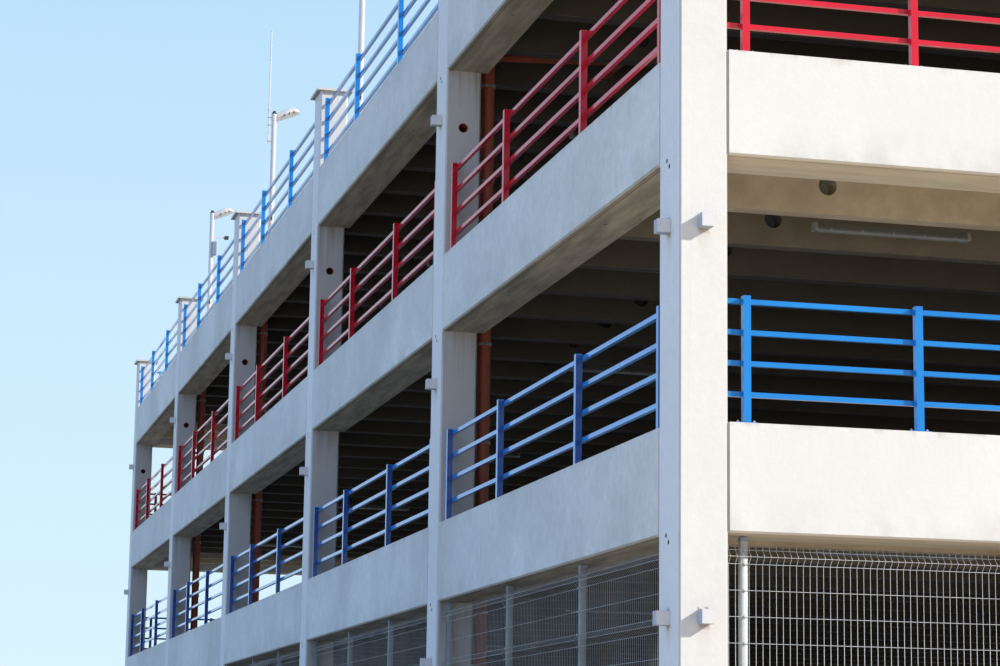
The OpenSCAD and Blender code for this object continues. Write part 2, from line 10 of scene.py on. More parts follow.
import bmesh
import bpy
from mathutils import Matrix, Vector


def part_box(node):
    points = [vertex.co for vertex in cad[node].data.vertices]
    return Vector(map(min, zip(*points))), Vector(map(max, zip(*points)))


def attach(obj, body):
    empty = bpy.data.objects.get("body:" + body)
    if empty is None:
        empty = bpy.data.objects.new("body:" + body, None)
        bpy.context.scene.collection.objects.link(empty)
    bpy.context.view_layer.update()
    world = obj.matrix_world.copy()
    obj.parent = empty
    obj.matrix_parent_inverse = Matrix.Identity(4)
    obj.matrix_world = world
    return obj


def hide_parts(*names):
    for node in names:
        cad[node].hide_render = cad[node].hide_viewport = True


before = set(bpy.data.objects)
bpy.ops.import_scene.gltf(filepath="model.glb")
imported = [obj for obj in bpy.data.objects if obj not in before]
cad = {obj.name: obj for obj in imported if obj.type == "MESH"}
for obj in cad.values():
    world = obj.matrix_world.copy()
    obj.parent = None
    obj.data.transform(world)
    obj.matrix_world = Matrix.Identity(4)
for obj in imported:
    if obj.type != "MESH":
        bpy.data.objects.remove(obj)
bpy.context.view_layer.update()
scene = bpy.context.scene
print(len(cad), "pieces in the fixed model")

# %% [markdown]
# ## Sizes that everything else hangs on
# A frame building repeats: the same bay along the front, the same storey upwards. So a few
# distances, read from the boxes of the columns and beams, place nearly every small part. The
# four sides are alike too. Each gets its own ruler: u runs along the side, d goes in from its outer
# face and z goes up, and one function turns such a place into the model's own x, y and z.

# %% Read the grid from the columns and beams
FRONT, RIGHT, BACK, LEFT = 0, 1, 2, 3
SIDES = (FRONT, RIGHT, BACK, LEFT)
NAMES = ("front", "right", "back", "left")
LEVELS = ("level_1", "level_2", "roof")
near_low, near_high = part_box("front_column_1")
HALF_X = near_high.x
HALF_Y = -near_low.y
COLUMN_X = near_high.x - near_low.x
COLUMN_Y = near_high.y - near_low.y
COLUMN_TOP = near_high.z
BAY = near_low.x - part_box("front_column_2")[0].x
BAYS = round((near_low.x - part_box("front_column_6")[0].x) / BAY)
END_BAYS = 2
END_BAY = (2 * HALF_Y - COLUMN_Y) / END_BAYS
BEAM_LOW = [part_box("front_beams_" + level)[0].z for level in LEVELS]
BEAM_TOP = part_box("front_beams_level_1")[1].z
STOREY = BEAM_LOW[1] - BEAM_LOW[0]
MM = 0.001
print("bays of %.3f m, storeys of %.3f m" % (BAY, STOREY))


# %% Rulers of the four sides
def is_long(side):
    return side in (FRONT, BACK)


def bays_on(side):
    return BAYS if is_long(side) else END_BAYS


def pitch_on(side):
    return BAY if is_long(side) else END_BAY


def column_width(side):
    return COLUMN_X if is_long(side) else COLUMN_Y


def clear_on(side):
    return pitch_on(side) - column_width(side)


def bay_start(side, bay):
    """u where the clear width of a bay starts."""
    return column_width(side) + bay * pitch_on(side)


def half_sizes(side):
    """Half of a side's length, and half of the building's depth behind it."""
    return (HALF_X, HALF_Y) if is_long(side) else (HALF_Y, HALF_X)


def on_side(side, u, d, z):
    """The place of a point that is given by a side's own ruler."""
    half_length, half_depth = half_sizes(side)
    x, y = u - half_length, d - half_depth
    for _ in range(side):
        x, y = -y, x
    return Vector((x, y, z))


def off_side(side, point):
    """A point of the model, read on a side's own ruler as (u, d, z)."""
    half_length, half_depth = half_sizes(side)
    x, y = point.x, point.y
    for _ in range(side):
        x, y = y, -x
    return Vector((x + half_length, y + half_depth, point.z))


print("corner of the right side:", tuple(round(v, 3) for v in on_side(RIGHT, 0, 0, 0)))

# %% [markdown]
# ## The camera
# The picture was taken from the ground near one corner, looking up along the long front. The
# camera's place, its turn and its lens were worked out from the building's own edges, so the model
# falls on the picture without any shift. It comes before the finishes, because each of them is
# judged through it.

# %% Place the camera
CAMERA_EYE = Vector((19.497, -6.999, 0.3575))
CAMERA_YAW = math.radians(76.03)
CAMERA_PITCH = math.radians(10.18)
CAMERA_ROLL = math.radians(0.83)
CAMERA_LENS = 89.79
CAMERA_SENSOR = 36
CAMERA_REACH = 500


def make_camera():
    data = bpy.data.cameras.new("camera")
    data.lens = CAMERA_LENS
    data.sensor_width = CAMERA_SENSOR
    data.clip_end = CAMERA_REACH
    camera = bpy.data.objects.new("camera", data)
    scene.collection.objects.link(camera)
    turn = Matrix.Rotation(CAMERA_YAW, 4, "Z") @ Matrix.Rotation(math.pi / 2 + CAMERA_PITCH, 4, "X")
    camera.matrix_world = Matrix.Translation(CAMERA_EYE) @ turn @ Matrix.Rotation(CAMERA_ROLL, 4, "Z")
    return camera


scene.camera = make_camera()
scene.view_settings.view_transform = "Standard"
print("camera with a lens of", CAMERA_LENS, "mm")

# %% [markdown]
# ## Small helpers for shader nodes
# A procedural finish is a tree of nodes. Written out link by link, the wiring hides the idea of the
# finish. A few helpers keep a tree readable: one adds a node with its inputs, others do a sum, mix
# two colours or stretch a range, and two more make and place a node group, which is an effect that
# several finishes share.

# %% Helpers that add nodes


def feed(tree, socket, value):
    """Gives an input another node's output, or else a plain value."""
    if isinstance(value, bpy.types.NodeSocket):
        tree.links.new(value, socket)
    else:
        socket.default_value = value


def add(tree, kind, inputs=None, **settings):
    """Adds a node with its settings and its inputs."""
    node = tree.nodes.new("ShaderNode" + kind)
    for name, value in settings.items():
        setattr(node, name, value)
    for name, value in (inputs or {}).items():
        feed(tree, node.inputs[name], value)
    return node


def mixed(tree, share, first, second):
    """Two colours mixed by a share, as an output."""
    return add(tree, "Mix", {0: share, 6: first, 7: second}, data_type="RGBA").outputs[2]


def spread(tree, value, low, high, to_low=0.0, to_high=1.0):
    """The range low..high stretched to another one and held there."""
    inputs = {"Value": value, "From Min": low, "From Max": high, "To Min": to_low, "To Max": to_high}
    return add(tree, "MapRange", inputs).outputs["Result"]


def noise(tree, vector, scale, detail=4.0, roughness=0.55):
    inputs = {"Vector": vector, "Scale": scale, "Detail": detail, "Roughness": roughness}
    return add(tree, "TexNoise", inputs).outputs[0]


def rgb(red, green, blue):
    return (red, green, blue, 1.0)


print("node helpers ready")


# %% Sums and masks
def calc(tree, operation, *values):
    """One sum, as an output."""
    return add(tree, "Math", dict(enumerate(values)), operation=operation).outputs[0]


def minus(tree, first, second):
    return calc(tree, "SUBTRACT", first, second)


def times(tree, first, second):
    return calc(tree, "MULTIPLY", first, second)


def unsigned(tree, value):
    return calc(tree, "ABSOLUTE", value)


def remainder(tree, value, pitch):
    """How far a value lies above the last whole multiple of a pitch."""
    return calc(tree, "FLOORED_MODULO", value, pitch)


def both(tree, first, second):
    """Where two masks hold at once."""
    return times(tree, first, second)


def either(tree, first, second):
    """Where at least one of two masks holds."""
    return calc(tree, "MAXIMUM", first, second)


def overlaid(tree, colour, mask, strength, overlay):
    """A colour with another laid over it where the mask is, for stains and for painted light and shade alike.
    """
    return mixed(tree, times(tree, mask, strength), colour, overlay)


print("sums and masks ready")


# %% Where the shaded point is, and what it faces
def place_of(tree):
    """The shaded point, in the model's own metres."""
    return add(tree, "TexCoord").outputs["Object"]


def place_axes(tree):
    """x, y and z of the shaded point."""
    return add(tree, "SeparateXYZ", {"Vector": place_of(tree)}).outputs


def facing_of(tree):
    """The direction that the surface faces."""
    return add(tree, "NewGeometry").outputs["Normal"]


def facing_axes(tree):
    """x, y and z of that direction."""
    return add(tree, "SeparateXYZ", {"Vector": facing_of(tree)}).outputs


print("places and directions ready")


# %% Make and place a node group
def start_group(name, inputs, output):
    """A node group with named number inputs, given with their defaults, and one named output."""
    group = bpy.data.node_groups.new(name, "ShaderNodeTree")
    for label, default in inputs.items():
        socket = group.interface.new_socket(label, in_out="INPUT", socket_type="NodeSocketFloat")
        socket.default_value = default
    group.interface.new_socket(output, in_out="OUTPUT", socket_type="NodeSocketFloat")
    given = group.nodes.new("NodeGroupInput").outputs
    result = group.nodes.new("NodeGroupOutput").inputs[output]
    return group, given, result


def use(tree, group, output, **inputs):
    """Places a group with its own values and gives its output."""
    node = add(tree, "Group", node_tree=group)
    for label, value in inputs.items():
        feed(tree, node.inputs[label.replace("_", " ")], value)
    return node.outputs[output]


print("group helpers ready")

# %% [markdown]
# ## Shared effect: cloudy tone
# No cast or painted surface has one even colour. Batches, damp and age leave soft patches. A noise
# texture stretched to full contrast gives them, in the piece's own coordinates so that they stay on
# it from every side. It is a group because nearly every finish below starts with it.


# %% Cloudy tone
def make_cloudy_tone():
    group, given, tone = start_group("cloudy tone", {"Scale": 1.0, "Low": 0.35, "High": 0.65}, "Tone")
    raw = noise(group, place_of(group), given["Scale"], 6.0, 0.6)
    feed(group, tone, spread(group, raw, given["Low"], given["High"]))
    return group


CLOUDY_TONE = make_cloudy_tone()
print("group:", CLOUDY_TONE.name)

# %% [markdown]
# ## Shared effect: rain streaks
# Rain runs down from every ledge and washes dirt into narrow vertical streaks, strongest just below
# the ledge. A noise that is stretched along z draws the streaks. How far below the last ledge a point
# lies comes from its height, by a remainder: the ledges repeat with the storeys, so one height and
# one spacing say where they all are.


# %% Rain streaks
def make_rain_streaks():
    inputs = {"Per metre": 12.0, "Along": 0.7, "Reach": 0.5, "Top": 0.0, "Spacing": 1.0}
    group, given, mask = start_group("rain streaks", inputs, "Mask")
    x, y, z = place_axes(group)
    across = {label: times(group, axis, given["Per metre"]) for label, axis in (("X", x), ("Y", y))}
    lines = add(group, "CombineXYZ", {**across, "Z": times(group, z, given["Along"])}).outputs[0]
    drawn = spread(group, noise(group, lines, 1.0), 0.46, 0.7)
    below = remainder(group, minus(group, given["Top"], z), given["Spacing"])
    uneven = spread(group, noise(group, lines, 0.35, 1.0), 0.3, 0.7, 0.25, 1.3)
    way_down = calc(group, "DIVIDE", below, times(group, given["Reach"], uneven))
    faded = minus(group, 1.0, calc(group, "MINIMUM", way_down, 1.0))
    feed(group, mask, both(group, drawn, faded))
    return group


RAIN_STREAKS = make_rain_streaks()
print("group:", RAIN_STREAKS.name)

# %% [markdown]
# ## Shared effect: pinholes
# Air that is trapped against the mould leaves small round holes in cast concrete, in some places
# many and in others none. Voronoi cells give one dot a cell, and a random number for each cell drops
# most of the dots, so that they look scattered and not printed.


# %% Pinholes
def make_pinholes():
    group, given, mask = start_group("pinholes", {"Scale": 40.0, "Size": 0.16, "Share": 0.3}, "Mask")
    place = place_of(group)
    cells = add(group, "TexVoronoi", {"Vector": place, "Scale": given["Scale"]}).outputs
    dot = calc(group, "LESS_THAN", cells["Distance"], given["Size"])
    chance = add(group, "SeparateColor", {"Color": cells["Color"]}).outputs[0]
    crowd = spread(group, noise(group, place, 1.3, 2.0), 0.4, 0.65)
    kept = calc(group, "LESS_THAN", chance, times(group, given["Share"], crowd))
    feed(group, mask, both(group, dot, kept))
    return group


PINHOLES = make_pinholes()
print("group:", PINHOLES.name)

# %% [markdown]
# ## Shared effect: distance to the nearest of a row
# Blocks on columns, joints and parking lines all repeat at an even spacing. The distance to the
# nearest of such a row is a remainder, folded about its middle. A narrow range of that distance
# then draws a line or a patch at each of them, with no list of places.


# %% Distance to the nearest of a row
def make_row_distance():
    inputs = {"Place": 0.0, "First": 0.0, "Pitch": 1.0}
    group, given, distance = start_group("row distance", inputs, "Distance")
    half = times(group, given["Pitch"], 0.5)
    shifted = calc(group, "ADD", minus(group, given["Place"], given["First"]), half)
    folded = minus(group, remainder(group, shifted, given["Pitch"]), half)
    feed(group, distance, unsigned(group, folded))
    return group


ROW_DISTANCE = make_row_distance()
print("group:", ROW_DISTANCE.name)

# %% [markdown]
# ## Shared effects: settled dust and worn edges
# Dust lies on what faces up, so its mask comes from the upward part of the surface's normal. Edges
# lose their paint or their cement skin first: a bevelled normal differs from the true one only
# near an edge, and that difference is the mask. Both are broken up with noise, because a clean band
# along an edge looks drawn.


# %% Settled dust and worn edges
def make_settled_dust():
    group, given, mask = start_group("settled dust", {"Scale": 6.0}, "Mask")
    flat = spread(group, facing_axes(group)[2], 0.5, 0.95)
    patches = noise(group, place_of(group), given["Scale"], 5.0)
    feed(group, mask, both(group, flat, spread(group, patches, 0.3, 0.6)))
    return group


def make_worn_edges():
    group, given, mask = start_group("worn edges", {"Radius": 0.004, "Scale": 30.0}, "Mask")
    rounded = add(group, "Bevel", {"Radius": given["Radius"]}, samples=4).outputs["Normal"]
    normals = {0: facing_of(group), 1: rounded}
    likeness = add(group, "VectorMath", normals, operation="DOT_PRODUCT").outputs["Value"]
    edge = spread(group, likeness, 0.99, 0.8)
    patches = noise(group, place_of(group), given["Scale"])
    feed(group, mask, both(group, edge, spread(group, patches, 0.42, 0.6)))
    return group


SETTLED_DUST = make_settled_dust()
WORN_EDGES = make_worn_edges()
print("groups:", SETTLED_DUST.name, "and", WORN_EDGES.name)

# %% [markdown]
# ## Shared effect: grain
# Under a low sun even smooth concrete and paint show a fine relief. Two noises of different size,
# added, make a height that a Bump node in each finish turns into shading.


# %% Grain
def make_grain():
    group, given, height = start_group("grain", {"Scale": 60.0, "Fine": 0.4}, "Height")
    place = place_of(group)
    coarse = noise(group, place, given["Scale"], 3.0)
    fine = noise(group, place, times(group, given["Scale"], 5.0), 2.0)
    feed(group, height, calc(group, "MULTIPLY_ADD", fine, given["Fine"], coarse))
    return group


GRAIN = make_grain()
print("group:", GRAIN.name)


# %% Start and end of every finish
def new_finish(name):
    """A material with its Principled shader."""
    material = bpy.data.materials.new(name)
    material.use_nodes = True
    shader = material.node_tree.nodes["Principled BSDF"]
    return material, material.node_tree, shader


def set_even(shader, **values):
    """Sets inputs that are the same all over the surface."""
    for label, value in values.items():
        shader.inputs[label.replace("_", " ")].default_value = value


def set_colour(tree, shader, colour):
    feed(tree, shader.inputs["Base Color"], colour)


def set_roughness(tree, shader, share, none, full):
    """Roughness that goes from one value to another with a share."""
    feed(tree, shader.inputs["Roughness"], spread(tree, share, 0.0, 1.0, none, full))


def set_relief(tree, shader, height, distance):
    """Turns a height into shading."""
    bump = add(tree, "Bump", {"Height": height, "Distance": distance})
    feed(tree, shader.inputs["Normal"], bump.outputs["Normal"])


print("finish helpers ready")

# %% [markdown]
# ## Cast concrete
# The columns and edge beams are cast in steel moulds, so their faces are smooth and pale, with soft patches,
# pinholes and dirt that rain has washed down from the ledges. One function makes what they share. Stains,
# painted light and painted shade that only one kind of piece has are small functions that it is handed: each
# takes the tree and the colour so far and gives the colour with what it adds.

# %% Cast concrete
PINHOLE_SHADE = rgb(0.16, 0.145, 0.12)
WORN_PALE = rgb(0.74, 0.72, 0.67)


def make_concrete(name, pale, deep, dirt, marks, overlays):
    material, tree, shader = new_finish(name)
    patches = use(tree, CLOUDY_TONE, "Tone", Scale=1.1)
    mottle = use(tree, CLOUDY_TONE, "Tone", Scale=26.0, Low=0.38, High=0.62)
    colour = mixed(tree, patches, deep, pale)
    colour = overlaid(tree, colour, mottle, 0.16 * marks, dirt)
    drag = use(tree, RAIN_STREAKS, "Mask", Per_metre=62.0, Along=12.0, Reach=40.0, Spacing=60.0)
    colour = overlaid(tree, colour, drag, 0.9 * marks, dirt)
    for overlay in overlays:
        colour = overlay(tree, colour)
    # The pinholes are painted dark: painted shade inside the small holes.
    holes = use(tree, PINHOLES, "Mask", Scale=36.0, Size=0.1, Share=0.15)
    colour = overlaid(tree, colour, holes, 0.6, PINHOLE_SHADE)
    worn = use(tree, WORN_EDGES, "Mask", Radius=0.005, Scale=9.0)
    set_colour(tree, shader, overlaid(tree, colour, worn, 0.25, WORN_PALE))
    set_roughness(tree, shader, patches, 0.88, 0.76)
    set_even(shader, Specular_IOR_Level=0.25)
    height = minus(tree, use(tree, GRAIN, "Height", Scale=45.0), times(tree, holes, 2.0))
    set_relief(tree, shader, height, 0.0009)
    return material


print("one function for all the concrete")


# %% Which face of the building a point is on
def from_outer_face(tree):
    """Distance of the point from the nearest of the building's four outer faces."""
    x, y, _ = place_axes(tree)
    to_end = minus(tree, HALF_X, unsigned(tree, x))
    to_long = minus(tree, HALF_Y, unsigned(tree, y))
    return calc(tree, "MINIMUM", to_end, to_long)


def faces_end(tree):
    """1 on faces that look along the building, as its two ends do."""
    return spread(tree, unsigned(tree, facing_axes(tree)[0]), 0.6, 0.8)


print("half of the building: %.3f by %.3f m" % (HALF_X, HALF_Y))

# %% Colours and sizes of the beams' stains, painted light and painted shade
PALE = rgb(0.66, 0.65, 0.59)
DEEP = rgb(0.53, 0.52, 0.47)
DIRT = rgb(0.30, 0.28, 0.245)
BROWN = rgb(0.26, 0.17, 0.095)
END_FACE_SUN_PAINT = rgb(0.71, 0.695, 0.65)
SOFFIT_PALE = rgb(0.48, 0.415, 0.315)
SOFFIT_DEEP = rgb(0.27, 0.23, 0.172)
SOFFIT_END_LIGHT_PAINT = rgb(0.92, 0.77, 0.57)
GROOVE_SHADE_PAINT = rgb(0.10, 0.06, 0.035)
FACE_SKIN = 2 * MM
DRIP_IN = 30 * MM
DRIP_HALF = 3.5 * MM
SEAM_IN = 945 * MM
SEAM_HALF = 1.5 * MM
END_SOFFIT = 285 * MM
GRIME_UP = 160 * MM
print("drip groove %.0f mm in from the face" % (DRIP_IN / MM))


# %% Stains, painted light and painted shade of the edge beams
def stain_and_light_beams(tree, colour):
    """Dirt washed down from the top edge, end faces painted paler as painted sunlight, brown spots under it,
    grime low down.
    """
    wash = use(tree, RAIN_STREAKS, "Mask", Per_metre=70.0, Reach=0.3, Top=BEAM_TOP, Spacing=STOREY)
    colour = overlaid(tree, colour, wash, 0.2, DIRT)
    # Faces turned to the building's ends are painted paler: painted sunlight.
    colour = overlaid(tree, colour, faces_end(tree), 0.72, END_FACE_SUN_PAINT)
    ledge = use(tree, RAIN_STREAKS, "Mask", Per_metre=16.0, Reach=0.035, Top=BEAM_TOP, Spacing=STOREY)
    colour = overlaid(tree, colour, ledge, 0.4, BROWN)
    above_edge = minus(tree, place_axes(tree)[2], BEAM_LOW[0])
    low = spread(tree, remainder(tree, above_edge, STOREY), GRIME_UP, 0.0)
    grime = use(tree, CLOUDY_TONE, "Tone", Scale=5.5, Low=0.42, High=0.66)
    return overlaid(tree, colour, both(tree, low, grime), 0.3, DIRT)


def stain_and_shade_soffits(tree, colour):
    """Damp and painted shade on the undersides, painted warm light on them near the ends, and a painted shade
    line for the drip groove near their outer edge.
    """
    down = spread(tree, facing_axes(tree)[2], -0.5, -0.9)
    x, y, _ = place_axes(tree)
    at_end = calc(tree, "GREATER_THAN", unsigned(tree, x), HALF_X - END_SOFFIT)
    drawn_x = times(tree, x, spread(tree, at_end, 0.0, 1.0, 2.0, 13.0))
    drawn_y = times(tree, y, spread(tree, at_end, 0.0, 1.0, 13.0, 2.0))
    drawn = add(tree, "CombineXYZ", {"X": drawn_x, "Y": drawn_y}).outputs[0]
    blotches = spread(tree, noise(tree, drawn, 1.0, 5.0, 0.6), 0.36, 0.62)
    # The undersides are darker and browner: partly damp stains, partly painted shade.
    soffit = mixed(tree, blotches, SOFFIT_DEEP, SOFFIT_PALE)
    # Near the ends the undersides are painted paler and warmer: painted light.
    soffit = overlaid(tree, soffit, at_end, 0.45, SOFFIT_END_LIGHT_PAINT)
    colour = overlaid(tree, colour, down, 0.94, soffit)
    # The drip groove is not cut: a dark line is painted along it, as painted shade.
    off_groove = unsigned(tree, minus(tree, from_outer_face(tree), DRIP_IN))
    groove = both(tree, down, spread(tree, off_groove, DRIP_HALF, DRIP_HALF * 0.5))
    return overlaid(tree, colour, groove, 0.75, GROOVE_SHADE_PAINT)


def draw_seams(tree, colour):
    """A hair crack in each long bay, where the mould had a joint."""
    x, _, _ = place_axes(tree)
    off_seam = use(tree, ROW_DISTANCE, "Distance", Place=x, First=HALF_X - SEAM_IN, Pitch=BAY)
    seam = spread(tree, off_seam, SEAM_HALF, SEAM_HALF * 0.4)
    broken = use(tree, CLOUDY_TONE, "Tone", Scale=5.0, Low=0.3, High=0.5)
    return overlaid(tree, colour, both(tree, seam, broken), 0.3, DIRT)


BEAM_CONCRETE = make_concrete("beam concrete", PALE, DEEP, DIRT, 1.0, (stain_and_light_beams, stain_and_shade_soffits, draw_seams))
print("finish:", BEAM_CONCRETE.name)

# %% [markdown]
# ## Stains and painted shade of the columns
# A column is washed from its cap, from the blocks on its outer face and, on the sides that look into the
# bays, from the beams that end on it. Those sides are also painted darker all over, as painted shade. Where a
# stain begins is known: the blocks and beams repeat with the storeys. Which face a point is on comes from how
# far it lies from the outer faces.

# %% Where the blocks are
BLOCK_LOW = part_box("column_blocks")[0].z
BLOCK_H = 55 * MM
BLOCK_HALF = 27 * MM
BLOCK_DROPS = (62 * MM, 16 * MM, 0.0)
COLUMN_MID_X = HALF_X - COLUMN_X / 2
COLUMN_MID_Y = HALF_Y - COLUMN_Y / 2


def above_block_row(tree):
    """Height above the underside of this storey's blocks, which sit lower on the lower storeys."""
    _, _, z = place_axes(tree)
    for drop, next_drop, level in zip(BLOCK_DROPS, BLOCK_DROPS[1:], BEAM_LOW):
        z = calc(tree, "ADD", z, spread(tree, z, level + 0.2, level + 0.1, 0.0, drop - next_drop))
    return minus(tree, z, BLOCK_LOW)


def on_outer_face(tree):
    """1 on a column's outer face, 0 on its other faces."""
    return calc(tree, "LESS_THAN", from_outer_face(tree), FACE_SKIN)


def off_blocks(tree):
    """Distance to the side from the middle of the block on this face."""
    x, y, _ = place_axes(tree)
    along_long = use(tree, ROW_DISTANCE, "Distance", Place=x, First=COLUMN_MID_X, Pitch=BAY)
    along_end = use(tree, ROW_DISTANCE, "Distance", Place=y, First=COLUMN_MID_Y, Pitch=END_BAY)
    return spread(tree, faces_end(tree), 0.0, 1.0, along_long, along_end)


print("lowest blocks %.3f m up" % (BLOCK_LOW - BLOCK_DROPS[0]))

# %% Stains and painted shade of the columns
COLUMN_PALE = rgb(0.68, 0.665, 0.62)
COLUMN_DEEP = rgb(0.63, 0.615, 0.57)
BLOCK_RUN = rgb(0.40, 0.325, 0.235)
BAY_SIDE_SHADE = rgb(0.36, 0.35, 0.325)
BAY_SIDE_RUNS = rgb(0.19, 0.18, 0.165)


def stain_blocks(tree, colour):
    """Brown runs under each block, and a crust on top of it."""
    height = above_block_row(tree)
    wobble = times(tree, use(tree, CLOUDY_TONE, "Tone", Scale=40.0), 14 * MM)
    aside = calc(tree, "ADD", off_blocks(tree), wobble)
    near = both(tree, on_outer_face(tree), spread(tree, aside, BLOCK_HALF + 8 * MM, BLOCK_HALF - 4 * MM))
    below = remainder(tree, minus(tree, 0.0, height), STOREY)
    run = both(tree, near, spread(tree, below, 140 * MM, 0.0, 0.0, 0.5))
    colour = overlaid(tree, colour, run, 0.45, BLOCK_RUN)
    colour = overlaid(tree, colour, both(tree, near, spread(tree, below, 22 * MM, 4 * MM)), 0.5, BROWN)
    above = remainder(tree, minus(tree, height, BLOCK_H), STOREY)
    specks = use(tree, CLOUDY_TONE, "Tone", Scale=90.0, Low=0.48, High=0.56)
    crust = both(tree, both(tree, near, specks), spread(tree, above, 14 * MM, 8 * MM))
    return overlaid(tree, colour, crust, 0.8, BROWN)


def shade_and_stain_bay_sides(tree, colour):
    """Painted shade over the sides that look into the bays, with long brown grey runs from the beams'
    undersides on them.
    """
    under_roof = calc(tree, "LESS_THAN", place_axes(tree)[2], BEAM_LOW[2])
    inner = both(tree, under_roof, minus(tree, 1.0, on_outer_face(tree)))
    runs = use(tree, RAIN_STREAKS, "Mask", Per_metre=26.0, Reach=0.34, Top=BEAM_LOW[0], Spacing=STOREY)
    # The whole inner face is painted darker: painted shade.
    colour = overlaid(tree, colour, inner, 0.6, BAY_SIDE_SHADE)
    return overlaid(tree, colour, both(tree, inner, runs), 0.8, BAY_SIDE_RUNS)


def wash_columns(tree, colour):
    """Dirt that comes down from the cap."""
    wash = use(tree, RAIN_STREAKS, "Mask", Per_metre=60.0, Reach=0.7, Top=COLUMN_TOP, Spacing=COLUMN_TOP * 2)
    return overlaid(tree, colour, wash, 0.16, DIRT)


column_overlays = (wash_columns, shade_and_stain_bay_sides, stain_blocks)
COLUMN_CONCRETE = make_concrete("column concrete", COLUMN_PALE, COLUMN_DEEP, DIRT, 0.35, column_overlays)
print("finish:", COLUMN_CONCRETE.name)

# %% [markdown]
# ## The ribbed floor units
# The undersides of the decks never see the sky. They are browner than the edge beams, and they are painted
# darker as painted shade, none near the short sides and more further in. The distance from the nearer end of
# the building says how far in a point is, and two ranges of it make the painted shade thicken.

# %% Floor units
UNIT_PALE = rgb(0.80, 0.665, 0.48)
UNIT_DEEP = rgb(0.64, 0.53, 0.38)
UNIT_DIRT = rgb(0.22, 0.175, 0.115)
RIB_PATCHES = rgb(0.30, 0.24, 0.16)
INNER_SHADE_PAINT = rgb(0.07, 0.06, 0.046)
DEEP_SHADE_PAINT = rgb(0.030, 0.026, 0.020)


def patch_and_shade_ribs(tree, colour):
    """Brown patches, and painted shade that starts a metre in from the short sides and thickens further in.
    """
    patches = use(tree, CLOUDY_TONE, "Tone", Scale=7.0, Low=0.4, High=0.62)
    colour = overlaid(tree, colour, patches, 0.3, RIB_PATCHES)
    to_end = minus(tree, HALF_X, unsigned(tree, place_axes(tree)[0]))
    # Painted shade, none within a metre of the short sides and darker further in.
    colour = overlaid(tree, colour, spread(tree, to_end, 1.0, 1.95), 0.93, INNER_SHADE_PAINT)
    return overlaid(tree, colour, spread(tree, to_end, 1.8, 3.6), 0.5, DEEP_SHADE_PAINT)


UNIT_CONCRETE = make_concrete("unit concrete", UNIT_PALE, UNIT_DEEP, UNIT_DIRT, 0.6, (patch_and_shade_ribs,))
print("finish:", UNIT_CONCRETE.name)

# %% [markdown]
# ## Deck screed
# The decks are a brushed screed, which tyres and oil have darkened along the lanes, with worn white
# lines between the stalls: three stalls a bay on each long side. Lines could be thin strips of mesh,
# but paint has no thickness to see, so they are drawn in the finish by the distance to the nearest of
# a row.

# %% Lines of the stalls
STALLS_PER_BAY = 3
STALL_LENGTH = 2.45
LINE_HALF = 25 * MM
BEAM_WEB = 125 * MM
LINE_WHITE = rgb(0.66, 0.65, 0.61)


def draw_stalls(tree, colour):
    x, y, _ = place_axes(tree)
    row = use(tree, ROW_DISTANCE, "Distance", Place=x, First=COLUMN_MID_X, Pitch=BAY / STALLS_PER_BAY)
    line = spread(tree, row, LINE_HALF * 1.1, LINE_HALF * 0.9)
    in_stall = calc(tree, "GREATER_THAN", unsigned(tree, y), HALF_Y - BEAM_WEB - STALL_LENGTH)
    wear = use(tree, CLOUDY_TONE, "Tone", Scale=14.0, Low=0.36, High=0.56)
    return overlaid(tree, colour, both(tree, both(tree, line, in_stall), wear), 0.85, LINE_WHITE)


print("stalls of %.2f m" % (BAY / STALLS_PER_BAY))

# %% Deck screed
SCREED_DEEP = rgb(0.36, 0.335, 0.30)
SCREED_PALE = rgb(0.50, 0.47, 0.42)
SCREED_END_SUN_PAINT = rgb(0.80, 0.72, 0.57)
TYRE_MARKS = rgb(0.22, 0.205, 0.185)
OIL_SPOTS = rgb(0.12, 0.11, 0.10)


def make_screed():
    material, tree, shader = new_finish("deck screed")
    x, y, _ = place_axes(tree)
    patches = use(tree, CLOUDY_TONE, "Tone", Scale=0.7, Low=0.3, High=0.7)
    lane = add(tree, "Mapping", {"Vector": place_of(tree), "Scale": (0.12, 2.2, 1.0)}).outputs[0]
    tracks = spread(tree, noise(tree, lane, 1.6, 3.0), 0.5, 0.72)
    in_lane = spread(tree, unsigned(tree, y), 1.7, 1.0)
    colour = mixed(tree, patches, SCREED_DEEP, SCREED_PALE)
    colour = overlaid(tree, colour, both(tree, tracks, in_lane), 0.55, TYRE_MARKS)
    # Within about a metre of the ends the screed is painted pale and warm: painted sunlight.
    near_end = spread(tree, unsigned(tree, x), HALF_X - 1.3, HALF_X - 0.9)
    colour = overlaid(tree, colour, near_end, 0.85, SCREED_END_SUN_PAINT)
    colour = draw_stalls(tree, colour)
    spots = use(tree, PINHOLES, "Mask", Scale=2.6, Size=0.22, Share=0.5)
    set_colour(tree, shader, overlaid(tree, colour, spots, 0.35, OIL_SPOTS))
    set_roughness(tree, shader, patches, 0.75, 0.9)
    set_relief(tree, shader, use(tree, GRAIN, "Height", Scale=80.0, Fine=0.8), 0.001)
    return material


DECK_SCREED = make_screed()
print("finish:", DECK_SCREED.name)

# %% [markdown]
# ## Gloss paint on the railings
# Posts and rails are powder coated steel: a hard even colour under a clear gloss that mirrors the
# sky. Seen along the rail the mirror takes over, which is why the outer faces look pale there, and
# deep in colour when seen square on. A clear coat over a low index of refraction gives that contrast.
# On the front of levels 1 and 2 the faces that look along the building stand in deep shade, so these
# railings have a deeper paint there. Dust on the upper faces and a few worn edges keep the paint from
# looking new.

# %% Gloss paint
PAINT_DUST = rgb(0.42, 0.39, 0.35)
BARE_EDGE = rgb(0.50, 0.49, 0.47)


